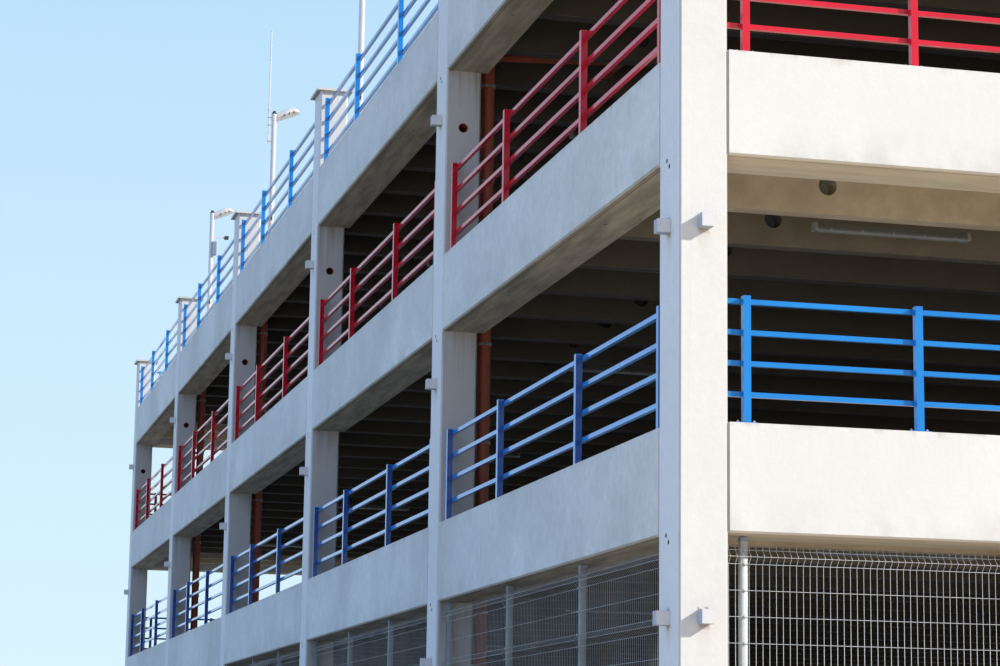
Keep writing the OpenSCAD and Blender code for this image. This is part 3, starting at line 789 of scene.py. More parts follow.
def make_paint(name, bright, deep, clear_coat, shaded=None):
    material, tree, shader = new_finish(name)
    patches = use(tree, CLOUDY_TONE, "Tone", Scale=2.4, Low=0.3, High=0.7)
    colour = mixed(tree, patches, deep, bright)
    if shaded:
        colour = overlaid(tree, colour, faces_end(tree), 0.95, shaded)
    dust = use(tree, SETTLED_DUST, "Mask", Scale=9.0)
    colour = overlaid(tree, colour, dust, 0.16, PAINT_DUST)
    worn = use(tree, WORN_EDGES, "Mask", Radius=0.0015, Scale=26.0)
    set_colour(tree, shader, overlaid(tree, colour, worn, 0.2, BARE_EDGE))
    set_roughness(tree, shader, dust, 0.16, 0.5)
    set_even(shader, IOR=1.38, Coat_Weight=clear_coat, Coat_Roughness=0.08, Coat_IOR=1.45)
    set_relief(tree, shader, use(tree, GRAIN, "Height", Scale=90.0, Fine=0.2), 0.00012)
    return material


BLUES = (rgb(0.010, 0.225, 0.60), rgb(0.007, 0.17, 0.49))
BLUE_PAINT = make_paint("blue gloss paint", *BLUES, 0.5)
RED_PAINT = make_paint("red gloss paint", rgb(0.66, 0.008, 0.025), rgb(0.52, 0.005, 0.018), 0.5)
DEEP_BLUE = make_paint("blue gloss paint in shade", *BLUES, 0.5, rgb(0.003, 0.045, 0.22))
DEEP_RED = make_paint(
    "red gloss paint in shade", rgb(0.62, 0.007, 0.030), rgb(0.50, 0.005, 0.022), 0.2, rgb(0.42, 0.004, 0.016)
)
print("four gloss paints")

# %% [markdown]
# ## Zinc, sheet metal, plastic and lamp housings
# The fence is hot dip galvanised: zinc crystals of slightly different greys. Voronoi cells are close to how
# such crystals look. Along the long sides, which stand in shade, the fence is painted in a darker zinc:
# painted shade. The caps, poles and lamp housings are coated and only gather dirt, and the rainwater pipes
# are brown plastic that has faded in patches.


# %% Zinc
def weighed(tree, first, weight, second, other_weight):
    """Sum of two values, each with its own weight."""
    return calc(tree, "ADD", times(tree, first, weight), times(tree, second, other_weight))


def make_zinc(name, bright, dull):
    material, tree, shader = new_finish(name)
    crystals = add(tree, "TexVoronoi", {"Vector": place_of(tree), "Scale": 70.0}).outputs["Color"]
    shade = add(tree, "SeparateColor", {"Color": crystals}).outputs[0]
    patches = use(tree, CLOUDY_TONE, "Tone", Scale=3.0)
    share = weighed(tree, shade, 0.25, patches, 0.75)
    set_colour(tree, shader, mixed(tree, share, dull, bright))
    set_roughness(tree, shader, share, 0.6, 0.45)
    set_even(shader, Metallic=0.15)
    set_relief(tree, shader, use(tree, GRAIN, "Height", Scale=120.0), 0.0002)
    return material


ZINC = make_zinc("bright zinc", rgb(0.56, 0.57, 0.565), rgb(0.43, 0.44, 0.435))
# The darker zinc for the fence along the long sides: painted shade.
ZINC_SHADE_PAINT = make_zinc("zinc with painted shade", rgb(0.33, 0.34, 0.33), rgb(0.22, 0.225, 0.22))
BOLT_ZINC = make_zinc("bolt zinc", rgb(0.36, 0.36, 0.35), rgb(0.22, 0.22, 0.215))
print("three zinc finishes")

# %% Coated sheet, plastic and other plain finishes
COATING_DUST = rgb(0.40, 0.38, 0.34)


def make_coated(name, clean, dirty, roughness, sunlit_paint=None):
    """A plain finish. Faces that look along the building can take a paler colour of their own, as painted
    sunlight.
    """
    material, tree, shader = new_finish(name)
    patches = use(tree, CLOUDY_TONE, "Tone", Scale=3.0)
    fine = use(tree, CLOUDY_TONE, "Tone", Scale=33.0)
    colour = mixed(tree, weighed(tree, patches, 0.6, fine, 0.25), dirty, clean)
    if sunlit_paint:
        colour = overlaid(tree, colour, faces_end(tree), 0.9, sunlit_paint)
    dust = use(tree, SETTLED_DUST, "Mask", Scale=7.0)
    set_colour(tree, shader, overlaid(tree, colour, dust, 0.35, COATING_DUST))
    set_roughness(tree, shader, patches, roughness + 0.12, roughness)
    set_relief(tree, shader, use(tree, GRAIN, "Height", Scale=70.0, Fine=0.3), 0.0003)
    return material


CAP_SHEET = make_coated("cap sheet", rgb(0.66, 0.64, 0.60), rgb(0.48, 0.46, 0.42), 0.42)
# The blocks' faces turned to the ends are painted paler: painted sunlight.
BLOCK_COVER = make_coated(
    "block cover", rgb(0.40, 0.44, 0.47), rgb(0.31, 0.34, 0.36), 0.5, rgb(0.64, 0.62, 0.60)
)
POLE_STEEL = make_coated("pole steel", rgb(0.68, 0.68, 0.67), rgb(0.55, 0.55, 0.53), 0.42)
LAMP_HOUSING = make_coated("lamp housing", rgb(0.22, 0.21, 0.195), rgb(0.14, 0.133, 0.12), 0.4)
LANTERN_HOOD = make_coated("lantern hood", rgb(0.72, 0.69, 0.63), rgb(0.58, 0.55, 0.49), 0.35)
BROWN_PIPE = make_coated("brown pipe", rgb(0.40, 0.085, 0.033), rgb(0.25, 0.052, 0.022), 0.45)
LAMP_CAP = make_coated("lamp cap", rgb(0.42, 0.41, 0.38), rgb(0.28, 0.27, 0.25), 0.4)
# Also the dark cups in the column sockets, as painted shade.
DARK_RUBBER_AND_SHADE = make_coated("dark rubber and painted shade", rgb(0.035, 0.035, 0.038), rgb(0.02, 0.02, 0.02), 0.55)
DARK_STEEL = make_coated("dark steel", rgb(0.13, 0.125, 0.12), rgb(0.07, 0.066, 0.062), 0.5)
BOX_GREY = make_coated("box grey", rgb(0.26, 0.31, 0.38), rgb(0.19, 0.22, 0.27), 0.4)
print("ten coated finishes")


# %% Covers of the lamps
def make_lens(name, colour):
    """Milky plastic or glass that isn't lit, under a clear gloss."""
    material, tree, shader = new_finish(name)
    patches = use(tree, CLOUDY_TONE, "Tone", Scale=12.0)
    dim = rgb(*(0.75 * value for value in colour[:3]))
    set_colour(tree, shader, mixed(tree, patches, dim, colour))
    set_even(shader, Roughness=0.22, Coat_Weight=0.6, Coat_Roughness=0.1)
    set_relief(tree, shader, use(tree, GRAIN, "Height", Scale=50.0, Fine=0.2), 0.0003)
    return material


LAMP_LENS = make_lens("lamp lens", rgb(0.34, 0.34, 0.32))
LANTERN_GLASS = make_lens("lantern glass", rgb(0.56, 0.54, 0.48))
print("two lens finishes")

# %% [markdown]
# ## Dress the pieces of the fixed model
# The columns, beams, decks and railings already have their true shape, so they only get
# a finish. Which one follows from the name of the piece: the first key that the name holds.

# %% Give each fixed piece its finish
FINISH_OF = {
    "front_railing_level_1": DEEP_BLUE, "front_railing_level_2": DEEP_RED,
    "beams": BEAM_CONCRETE, "column_blocks": BLOCK_COVER, "column_caps": CAP_SHEET,
    "column": COLUMN_CONCRETE, "units": UNIT_CONCRETE, "topping": DECK_SCREED,
    "railing_level_2": RED_PAINT, "railing": BLUE_PAINT, "fence": ZINC, "pipes": BROWN_PIPE,
    "lamps": LAMP_HOUSING, "poles": POLE_STEEL, "aerial": POLE_STEEL, "lanterns": LANTERN_HOOD,
    "camera": DARK_RUBBER_AND_SHADE,
}


def dress(node, piece):
    key = next(key for key in FINISH_OF if key in node)
    piece.data.materials.clear()
    piece.data.materials.append(FINISH_OF[key])


for node, piece in cad.items():
    dress(node, piece)
print("dressed", len(cad), "fixed pieces")

# %% [markdown]
# ## A small kit for making forms
# What is added below is made of a few kinds of form: bevelled blocks, round bars that follow a path,
# turned forms, and outlines with a thickness. Blender's own primitives would have to be bevelled,
# joined and moved one by one. It is quicker to collect all the points and faces of many such forms
# in one list and make one mesh of them, with each form written on the ruler of the side it is on.
# All but the blocks are rings of points, so one function joins the rings of every such form.

# %% Shape: points and faces of many forms
SQUARE = ((0, 0), (1, 0), (1, 1), (0, 1))


def circle(radius, sides):
    """Points of a circle, as pairs."""
    angles = [2 * math.pi * (k + 0.5) / sides for k in range(sides)]
    return [(radius * math.cos(angle), radius * math.sin(angle)) for angle in angles]


class Shape:
    """Collects forms. Each is given as (u, d, z) on a side's ruler, from an origin."""

    def __init__(self):
        self.points = []
        self.faces = []
        self.origin = (FRONT, 0.0, 0.0, 0.0)

    def at(self, side, u, d, z):
        """Puts the origin at a place on a side's ruler."""
        self.origin = (side, u, d, z)

    def at_place(self, x, y, z):
        """Puts the origin at a place of the model."""
        self.origin = (FRONT, x + HALF_X, y + HALF_Y, z)

    def put(self, points, faces):
        side, u, d, z = self.origin
        first = len(self.points)
        self.points += [on_side(side, u + p[0], d + p[1], z + p[2]) for p in points]
        self.faces += [tuple(first + i for i in face) for face in faces]

    def block(self, low, high, bevel=0.0):
        """A box, bevelled or plain. Each corner has three points, one for each axis."""
        corners = [(a, b, c) for a in (0, 1) for b in (0, 1) for c in (0, 1)]
        points = []
        for corner in corners:
            for axis in range(3):
                inset = [0 if i == axis else bevel for i in range(3)]
                points.append([high[i] - inset[i] if corner[i] else low[i] + inset[i] for i in range(3)])
        faces = [(3 * i, 3 * i + 1, 3 * i + 2) for i in range(len(corners))] if bevel else []
        for axis in range(3):
            b, c = (axis + 1) % 3, (axis + 2) % 3
            own = axis if bevel else 0
            ends = []
            for end in (0, 1):
                ring = [{axis: end, b: first, c: second} for first, second in SQUARE]
                ends.append([3 * corners.index((at[0], at[1], at[2])) for at in ring])
            faces += [tuple(i + own for i in ring) for ring in ends]
            if bevel:
                faces += [(s + b, t + b, t + c, s + c) for s, t in zip(*ends)]
        self.put(points, faces)

    def join_rings(self, points, sides, hollow=False):
        """Joins rings of points one after the other. Ends are closed, or the last joins the first."""
        rings = len(points) // sides
        faces = [] if hollow else [tuple(range(sides)), tuple(range(len(points) - sides, len(points)))]
        for i in range(rings if hollow else rings - 1):
            a, b = i * sides, (i + 1) % rings * sides
            for k in range(sides):
                after = (k + 1) % sides
                faces.append((a + k, a + after, b + after, b + k))
        self.put(points, faces)

    def bar(self, path, radius, sides, across=(1.0, 0.0, 0.0)):
        """A round bar along a path that lies square to the direction across."""
        across = Vector(across)
        path = [Vector(p) for p in path]
        points = []
        for middle, before, after in zip(path, path[:1] + path, path[1:] + path[-1:]):
            normal = across.cross(after - before).normalized()
            points += [middle + a * across + b * normal for a, b in circle(radius, sides)]
        self.join_rings(points, sides)

    def turned(self, profile, axis, sides, middle=(0.0, 0.0, 0.0), hollow=False):
        """A form turned round an axis, from (radius, distance along it). A hollow one is a ring."""
        points = []
        for radius, along in profile:
            for a, b in circle(radius, sides):
                offset = {"z": (a, b, along), "d": (a, along, b), "u": (along, a, b)}[axis]
                points.append([m + o for m, o in zip(middle, offset)])
        self.join_rings(points, sides, hollow)

    def sheet(self, outline, start, end):
        """An outline in u and z with a thickness along d."""
        self.join_rings([(a, far, b) for far in (start, end) for a, b in outline], len(outline))

    def nut(self, middle, width, height):
        """A hexagon nut with a washer under it and the end of its bolt."""
        r = width / 2
        washer = [(r * 1.35, 0), (r * 1.35, height * 0.18)]
        flanks = [(r, height * 0.18), (r * 1.04, height * 0.3), (r * 1.04, height * 0.8), (r * 0.9, height)]
        bolt = [(r * 0.5, height), (r * 0.5, height * 1.5), (r * 0.4, height * 1.6)]
        for profile, sides in ((washer, 14), (flanks, 6), (bolt, 8)):
            self.turned(profile, "z", sides, middle)


print("forms ready")


# %% Make a piece from a shape
def in_mm(*line):
    """A profile or outline that is written in millimetres."""
    return [(a * MM, b * MM) for a, b in line]


def both_sides(near, far):
    """The ranges from near to far on either side of a middle, as (low, high)."""
    return [tuple(sorted((sign * near, sign * far))) for sign in (-1, 1)]


def make_piece(shape, name, material, slot, stands_for=(), smooth=35):
    """Makes one mesh of a shape, rounds its shading up to an angle and joins it to the model."""
    mesh = bpy.data.meshes.new(name)
    mesh.from_pydata(shape.points, [], shape.faces)
    work = bmesh.new()
    work.from_mesh(mesh)
    bmesh.ops.recalc_face_normals(work, faces=work.faces)
    work.to_mesh(mesh)
    work.free()
    mesh.shade_smooth()
    mesh.set_sharp_from_angle(angle=math.radians(smooth))
    mesh.materials.append(material)
    piece = bpy.data.objects.new(name, mesh)
    scene.collection.objects.link(piece)
    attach(piece, "root")
    if stands_for:
        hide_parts(*stands_for)
    print("%s: %d faces" % (name, len(mesh.polygons)))


print("pieces can be made")


# %% Where the posts of a railing or fence stand
def middles_of(values, reach):
    """Middle of each group of values that lie near each other, from a sorted list."""
    groups = []
    for value in values:
        if groups and abs(value - groups[-1][0]) < reach:
            groups[-1].append(value)
        else:
            groups.append([value])
    return [(group[0] + group[-1]) / 2 for group in groups]


def post_places(node, side):
    """Middle of each post as u on the side's ruler, read from the tops of the fixed piece."""
    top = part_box(node)[1].z
    spots = {round(off_side(side, v.co).x, 4) for v in cad[node].data.vertices if top - v.co.z < MM}
    return middles_of(sorted(spots), 50 * MM)


print("posts of the front fence:", len(post_places("front_fence", FRONT)))

# %% [markdown]
# ## The welded mesh fence
# The ground storey is closed by panels of welded wire, folded outwards in long V shapes that make
# them stiff. The fixed model has the folds with only a few wires. Here every wire is a thin bar that
# follows the fold: 5 mm wires every 55 mm on the real fence, half of that in the model. A plane
# with a see-through pattern would be quicker, but from close by it has no thickness at the folds.

# %% Sizes of the mesh
WIRE_R = 1.25 * MM
WIRE_STEP = 27.5 * MM
LEVEL_WIRE_OUT = 1.6 * WIRE_R
BARB = 18 * MM
FENCE_FOOT = 35 * MM
HALF_FOLD = 27 * MM
ROW_STEP = 101 * MM
LAST_ROW_GAP = 40 * MM
PANEL_GAP = 6 * MM
CAD_WIRE = 5 * MM


def fold_tips(node, side):
    """d of the tips of the folds and their heights, from the points that stand out most."""
    points = [off_side(side, v.co) for v in cad[node].data.vertices]
    outer = min(p.y for p in points)
    heights = {round(p.z, 4) for p in points if p.y - outer < 0.2 * MM}
    return outer, middles_of(sorted(heights, reverse=True), 20 * MM)


def mesh_rows(tips, low):
    """Heights of the level wires, each with whether it lies on a tip: three a fold, more between."""
    rows = [(low, False)]
    for tip, lower in zip(tips, tips[1:] + [low - HALF_FOLD]):
        rows += [(tip + HALF_FOLD, False), (tip, True), (tip - HALF_FOLD, False)]
        gap = (tip - HALF_FOLD) - (lower + HALF_FOLD)
        count = int((gap - LAST_ROW_GAP) / ROW_STEP)
        rows += [(tip - HALF_FOLD - ROW_STEP * k, False) for k in range(1, count + 1)]
    return rows


print("one wire each", WIRE_STEP / MM, "mm")

# %% Panels, posts and clamps
POST_SIDE = 30 * MM
POST_CAP = 16 * MM
CAP_BOLT_DOWN = 105 * MM
CAP_BOLT = in_mm((5, 2), (5, -2), (3, -3.5))
CLAMP_SHARES = (0.26, 0.63)
CLAMP_W = 6 * MM
CLAMP_OUT = 33 * MM
CLAMP_TALL = 30 * MM
CLAMP_SCREW = in_mm((6, 0), (6, -4), (4, -5))


def add_mesh_panel(shape, start, end, line, tip_line, tips, rows):
    """One panel: wires that follow the folds, and level wires on their outer side."""
    path = [(0, line, tips[0] + HALF_FOLD + BARB)]
    for tip in tips:
        path += [(0, line, tip + HALF_FOLD), (0, tip_line, tip), (0, line, tip - HALF_FOLD)]
    path.append((0, line, FENCE_FOOT - BARB / 3))
    count = round((end - start) / WIRE_STEP)
    for k in range(count + 1):
        u = start + WIRE_R + k * (end - start - 2 * WIRE_R) / count
        shape.bar([(u, d, z) for _, d, z in path], WIRE_R, 4)
    for z, at_tip in rows:
        d = tip_line if at_tip else line - LEVEL_WIRE_OUT
        shape.bar([(start, d, z), (end, d, z)], WIRE_R, 4, (0.0, 0.0, 1.0))


def add_fence_post(shape, top, line, rows):
    """A square post with a slot line down its front, and a clip over each level wire."""
    half = POST_SIDE / 2
    shape.block((-half, line, 0), (half, line + POST_SIDE, top - 3 * MM), 1.5 * MM)
    shape.block((-half + 8 * MM, line - MM, 10 * MM), (-half + 10 * MM, line + MM, top - 60 * MM))
    for z, at_tip in rows:
        if not at_tip:
            shape.block((-7 * MM, line - 9 * MM, z - 4 * MM), (7 * MM, line + MM, z + 4 * MM), MM)


def add_end_clamps(shape, clear, line):
    """Clamps that hold the fence to the columns at both ends of a bay."""
    for share in CLAMP_SHARES:
        z = share * BEAM_LOW[0]
        for u in (0, clear - CLAMP_W):
            shape.block((u, line, z), (u + CLAMP_W, line + CLAMP_OUT, z + CLAMP_TALL), MM)
            shape.turned(CLAMP_SCREW, "d", 6, (u + CLAMP_W / 2, line, z + CLAMP_TALL / 2))


print("clamps at", [round(share * BEAM_LOW[0], 3) for share in CLAMP_SHARES], "m")


# %% Make the four fences
def make_fence(side, first_bay):
    node = NAMES[side] + "_fence"
    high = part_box(node)[1]
    outer, tips = fold_tips(node, side)
    places = post_places(node, side)
    post_line = max(off_side(side, v.co).y for v in cad[node].data.vertices) - POST_SIDE
    line = post_line - CAD_WIRE / 2
    tip_line = outer + CAD_WIRE / 2
    rows = mesh_rows(tips, FENCE_FOOT + BARB)
    edge = POST_SIDE / 2 + MM
    shape, caps, bolts = Shape(), Shape(), Shape()
    for bay in range(first_bay, bays_on(side)):
        start = bay_start(side, bay)
        inside = [p - start for p in places if 0 < p - start < clear_on(side)]
        for u in inside:
            shape.at(side, start + u, 0, 0)
            add_fence_post(shape, high.z, post_line, rows)
            caps.at(side, start + u, post_line, high.z)
            caps.block((-edge, -MM, -POST_CAP), (edge, POST_SIDE + MM, 0), 2 * MM)
            bolts.at(side, start + u + 2 * MM, post_line, high.z - CAP_BOLT_DOWN)
            bolts.turned(CAP_BOLT, "d", 12)
        shape.at(side, start, 0, 0)
        add_end_clamps(shape, clear_on(side), line)
        cuts = [CLAMP_W] + inside[1:-1] + [clear_on(side) - CLAMP_W]
        for k in range(len(cuts) - 1):
            left = cuts[k] + (PANEL_GAP / 2 if k else 0)
            right = cuts[k + 1] - (PANEL_GAP / 2 if k + 2 < len(cuts) else 0)
            add_mesh_panel(shape, left, right, line, tip_line, tips, rows)
    # The long sides take the darker zinc: painted shade.
    make_piece(shape, node + "_mesh", ZINC_SHADE_PAINT if is_long(side) else ZINC, "galvanised_wire", (node,), 50)
    make_piece(caps, node + "_caps", BOX_GREY, "galvanised_wire")
    make_piece(bolts, node + "_bolts", DARK_STEEL, "galvanised_wire")


for side in SIDES:
    make_fence(side, 1 if side == BACK else 0)

# %% [markdown]
# ## The lanterns
# Each pole on the roof carries a street lantern that tilts up over the deck: a white domed hood
# on a flat glass bowl. Both are lofted: cross sections are set along the lantern, with the width of
# its plan and the height of its side view at that place, and joined. A scaled sphere would miss
# the narrow neck at the pole.


# %% Find separate solids inside a fixed piece
def solids_of(node):
    """Boxes of the separate solids in a fixed piece, as (low, high)."""
    mesh = cad[node].data
    keys = [tuple(round(c, 4) for c in v.co) for v in mesh.vertices]
    parent = {key: key for key in keys}

    def root(key):
        while parent[key] != key:
            parent[key] = parent[parent[key]]
            key = parent[key]
        return key

    for polygon in mesh.polygons:
        corners = [keys[i] for i in polygon.vertices]
        for corner in corners[1:]:
            parent[root(corner)] = root(corners[0])
    groups = {}
    for key in parent:
        groups.setdefault(root(key), []).append(key)
    boxes = []
    for group in groups.values():
        low, high = [Vector([pick(p[i] for p in group) for i in range(3)]) for pick in (min, max)]
        boxes.append((low, high))
    return sorted(boxes, key=lambda box: tuple(box[0]))


LANTERNS = solids_of("pole_lanterns")
print("lanterns:", len(LANTERNS))

# %% Outline of a lantern
NECK_W = 50 * MM
TIP_MIN = 2 * MM
SEAM_SHARE = 0.34
BOWL_LINE = ((0, 0.0), (1, 0.62))
HOOD_LINE = (
    (0, 0.55), (0.26, 0.76), (0.36, 0.83), (0.5, 0.945), (0.69, 1.0), (0.8, 0.94), (0.9, 0.85),
    (0.98, 0.73), (1, 0.64),
)


def along(line, t):
    """Height on a broken line at t, from 0 to 1."""
    for (t0, h0), (t1, h1) in zip(line, line[1:]):
        if t <= t1:
            return h0 + (h1 - h0) * (t - t0) / (t1 - t0)
    return line[-1][1]


def side_heights(t, rise):
    """Heights of the bowl's underside, the seam and the hood's top at t."""
    bottom, top = along(BOWL_LINE, t) * rise, along(HOOD_LINE, t) * rise
    return bottom, bottom + (top - bottom) * SEAM_SHARE, top


def half_width(t, length, width):
    """Half of the lantern's width: a neck that widens, then a round tip."""
    tip = length - width / 2
    y = t * length
    if y < tip / 2:
        return NECK_W / 2 + (width - NECK_W) / 2 * y / (tip / 2)
    if y < tip:
        return width / 2
    return math.sqrt(max((width / 2) ** 2 - (y - tip) ** 2, TIP_MIN ** 2))


print("neck %.0f mm wide" % (NECK_W / MM))

# %% Loft the lanterns
STATIONS = 16
LAST_STATION = 0.995
ARCH_STEPS = 12
BOWL_RIM = 0.97
BOWL_FLAT = 0.72


def add_lantern(hood, bowl, low, high):
    length, width, rise = high.y - low.y, high.x - low.x, high.z - low.z
    middle = (low.x + high.x) / 2
    arches, troughs = [], []
    for k in range(STATIONS + 1):
        t = min(k / STATIONS, LAST_STATION)
        w = half_width(t, length, width)
        bottom, seam, top = side_heights(t, rise)
        y = low.y + t * length
        for i in range(ARCH_STEPS + 1):
            a = math.pi * i / ARCH_STEPS
            arches.append((middle + w * math.cos(a), y, low.z + seam + (top - seam) * math.sin(a)))
        for share, z in ((-BOWL_RIM, seam), (-BOWL_FLAT, bottom), (BOWL_FLAT, bottom), (BOWL_RIM, seam)):
            troughs.append((middle + share * w, y, low.z + z))
    hood.join_rings(arches, ARCH_STEPS + 1)
    bowl.join_rings(troughs, 4)


def make_lanterns():
    hood, bowl = Shape(), Shape()
    for shape in (hood, bowl):
        shape.at_place(0, 0, 0)
    for low, high in LANTERNS:
        add_lantern(hood, bowl, low, high)
    make_piece(hood, "lantern_hoods", LANTERN_HOOD, "lamp_housing", ("pole_lanterns",), 50)
    make_piece(bowl, "lantern_bowls", LANTERN_GLASS, "lamp_housing", ("pole_lanterns",), 40)


make_lanterns()

# %% [markdown]
# ## Caps and nuts of the railings
# A railing post is a square tube on a foot plate. A plastic cap keeps rain out of the tube, and two
# nuts on bolts that are set in the beam hold the plate. The fixed model leaves both out, but from
# close by a post without them looks like a bare block.

# %% Railing fittings
POST_W = 30 * MM
POST_IN = 20 * MM
PLATE_T = 5 * MM
BOLT_OFF = 33 * MM
BLUE = (BLUE_PAINT, "blue_paint")
PAINT_OF = {"level_1": BLUE, "level_2": (RED_PAINT, "red_paint"), "roof": BLUE}


def add_railing_fittings(caps, nuts, side, level):
    node = NAMES[side] + "_railing_" + level
    low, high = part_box(node)
    edge = POST_W / 2 + MM / 2
    for u in post_places(node, side):
        caps.at(side, u, POST_IN, high.z)
        caps.block((-edge, -MM / 2, -4 * MM), (edge, POST_W + MM / 2, 2 * MM), MM)
        for step in (-BOLT_OFF, BOLT_OFF):
            nuts.at(side, u + step, POST_IN + 0.6 * POST_W, low.z + PLATE_T)
            nuts.nut((0, 0, 0), 11 * MM, 6 * MM)


for level in LEVELS:
    caps, nuts = Shape(), Shape()
    for side in SIDES:
        add_railing_fittings(caps, nuts, side, level)
    make_piece(caps, "railing_caps_" + level, *PAINT_OF[level])
    make_piece(nuts, "railing_nuts_" + level, ZINC, "galvanised_wire")

# %% [markdown]
# ## Sockets and service holes
# The columns have blind sockets below each beam, for the props of the building time, and a lined hole for
# cables. From a distance the sockets look black and the hole brown. The sockets are deep and little light
# gets in, so a dark cup on each socket's floor stands for that as painted shade. A brown sleeve lines the
# hole.

# %% Sockets, sleeves and soffit plugs
SOCKETS = ((95 * MM, -6 * MM), (125 * MM, -34 * MM))
SOCKET_R = 9.6 * MM
SOCKET_SHADE_CUP = [
    (SOCKET_R, 7.8 * MM), (SOCKET_R, 0.6 * MM), (SOCKET_R * 0.85, 0.6 * MM), (SOCKET_R * 0.7, 5 * MM)
]
HOLE_R = 27.2 * MM
HOLE_INNER = HOLE_R - 2.5 * MM
HOLE_DOWN = 325 * MM
SLEEVE = [(HOLE_R, 0), (HOLE_R, COLUMN_X), (HOLE_INNER, COLUMN_X), (HOLE_INNER, 0)]
SLEEVE_FLOOR = [(HOLE_INNER, COLUMN_X * 0.45), (HOLE_INNER, COLUMN_X * 0.5)]
SOFFIT_PLUG_IN = 100 * MM
PLUG_SHARES = (0.28, 0.72)
SOFFIT_PLUG = in_mm((9, 1), (9, -0.6), (7.5, -1.2))


def add_column_parts(shade_cups, sleeves, side, n):
    start = n * BAY
    for beam_low in BEAM_LOW:
        for u, up in SOCKETS:
            shade_cups.at(side, start + u, 0, beam_low + up)
            shade_cups.turned(SOCKET_SHADE_CUP, "d", 20)
    sleeves.at(side, start, COLUMN_Y / 2, BEAM_LOW[2] - HOLE_DOWN)
    sleeves.turned(SLEEVE, "u", 32, hollow=True)
    sleeves.turned(SLEEVE_FLOOR, "u", 32)


def add_soffit_plugs(plugs, side, beam_low, bay):
    for share in PLUG_SHARES:
        plugs.at(side, bay_start(side, bay) + share * clear_on(side), SOFFIT_PLUG_IN, beam_low)
        plugs.turned(SOFFIT_PLUG, "z", 20)


shade_cups, sleeves, plugs = Shape(), Shape(), Shape()
for side in (FRONT, BACK):
    for n in range(BAYS + 1):
        add_column_parts(shade_cups, sleeves, side, n)
    for beam_low in BEAM_LOW:
        for bay in range(BAYS):
            add_soffit_plugs(plugs, side, beam_low, bay)
# A dark cup in each socket: painted shade.
make_piece(shade_cups, "column_socket_shade_cups", DARK_RUBBER_AND_SHADE, "precast_concrete")
make_piece(sleeves, "service_hole_sleeves", BROWN_PIPE, "precast_concrete")
make_piece(plugs, "soffit_plugs", DARK_STEEL, "precast_concrete")

# %% [markdown]
# ## Pipe bands and gully grates
# A rainwater pipe is held by a split steel band at each clamp, pulled together by two bolts. On the
# roof a slotted grate keeps leaves out of each gully. A ring is the turned form of a small closed
# outline, and the slots are the gaps between bars whose ends follow the ring.

# %% Pipe bands
PIPE_COLUMNS = (4, 2, 1)
PIPE_IN = 270 * MM
CLAMP_R = 41 * MM
CLAMP_BELOW = (54 * MM, 605 * MM)
CLAMP_H = 24 * MM
COLLAR_DOWN = 500 * MM
BAND_LOW = 5 * MM
BAND_HIGH = CLAMP_H - 5 * MM
BAND = [(CLAMP_R + r, z) for r, z in (
    (-MM, BAND_LOW), (1.5 * MM, BAND_LOW), (1.5 * MM, BAND_HIGH), (-MM, BAND_HIGH)
)]
BAND_BOLT = in_mm((2.5, 0), (2.5, 17))
BOLT_HEADS = (in_mm((5, -1), (5, 3)), in_mm((5, 13), (5, 17)))
PIPE_COLLAR = in_mm((35, 0), (39, 1), (39, 28), (41, 30), (41, 38), (35, 40))


def add_pipe_band(bands, bolts, u, z):
    bands.at(FRONT, u, PIPE_IN, z)
    bands.turned(BAND, "z", 32, hollow=True)
    for near, far in both_sides(CLAMP_R, CLAMP_R + 15 * MM):
        for d in (-5 * MM, 2 * MM):
            bands.block((near, d, BAND_LOW), (far, d + 3 * MM, BAND_HIGH), 0.6 * MM)
    for sign in (-1, 1):
        bolts.at(FRONT, u + sign * (CLAMP_R + 8 * MM), PIPE_IN - 8 * MM, z + CLAMP_H / 2)
        bolts.turned(BAND_BOLT, "d", 8)
        for head in BOLT_HEADS:
            bolts.turned(head, "d", 6)


bands, bolts, collars = Shape(), Shape(), Shape()
for n in PIPE_COLUMNS:
    u = COLUMN_X / 2 + n * BAY
    for beam_low in BEAM_LOW:
        for below in CLAMP_BELOW:
            add_pipe_band(bands, bolts, u, beam_low - below)
        collars.at(FRONT, u, PIPE_IN, beam_low - COLLAR_DOWN)
        collars.turned(PIPE_COLLAR, "z", 32)
make_piece(bands, "pipe_bands", BOLT_ZINC, "galvanised_wire")
make_piece(bolts, "pipe_band_bolts", DARK_STEEL, "galvanised_wire")
make_piece(collars, "pipe_collars", BROWN_PIPE, "brown_pipe")

# %% Gully grates
SCREED_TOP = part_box("roof_topping")[1].z
GULLY_IN = 1056 * MM
GRATE_R = 44.5 * MM
GRATE_INNER = GRATE_R - 6 * MM
GRATE_RING = [(GRATE_R, -5 * MM), (GRATE_R, -MM), (GRATE_INNER, -MM), (GRATE_INNER, -5 * MM)]
GRATE_BARS = 7


def add_grate(grates, u):
    grates.at(FRONT, u, GULLY_IN, SCREED_TOP)
    grates.turned(GRATE_RING, "z", 32, hollow=True)
    step = 2 * GRATE_INNER / GRATE_BARS
    for k in range(GRATE_BARS):
        across = -GRATE_INNER + (k + 0.5) * step
        reach = math.sqrt(GRATE_INNER ** 2 - across ** 2) + 2 * MM
        grates.block((-reach, across - step / 4, -4.5 * MM), (reach, across + step / 4, -1.5 * MM), 0.5 * MM)


grates = Shape()
for n in PIPE_COLUMNS:
    add_grate(grates, COLUMN_X / 2 + n * BAY - BAY / 6)
make_piece(grates, "gully_grates", DARK_STEEL, "pole_steel")

# %% [markdown]
# ## Blocks on the columns
# The blocks were cast on site, so they don't sit at the same distance under each beam. They have the
# place and the size of the fixed ones, lowered storey by storey, with edges that are a little rounded.

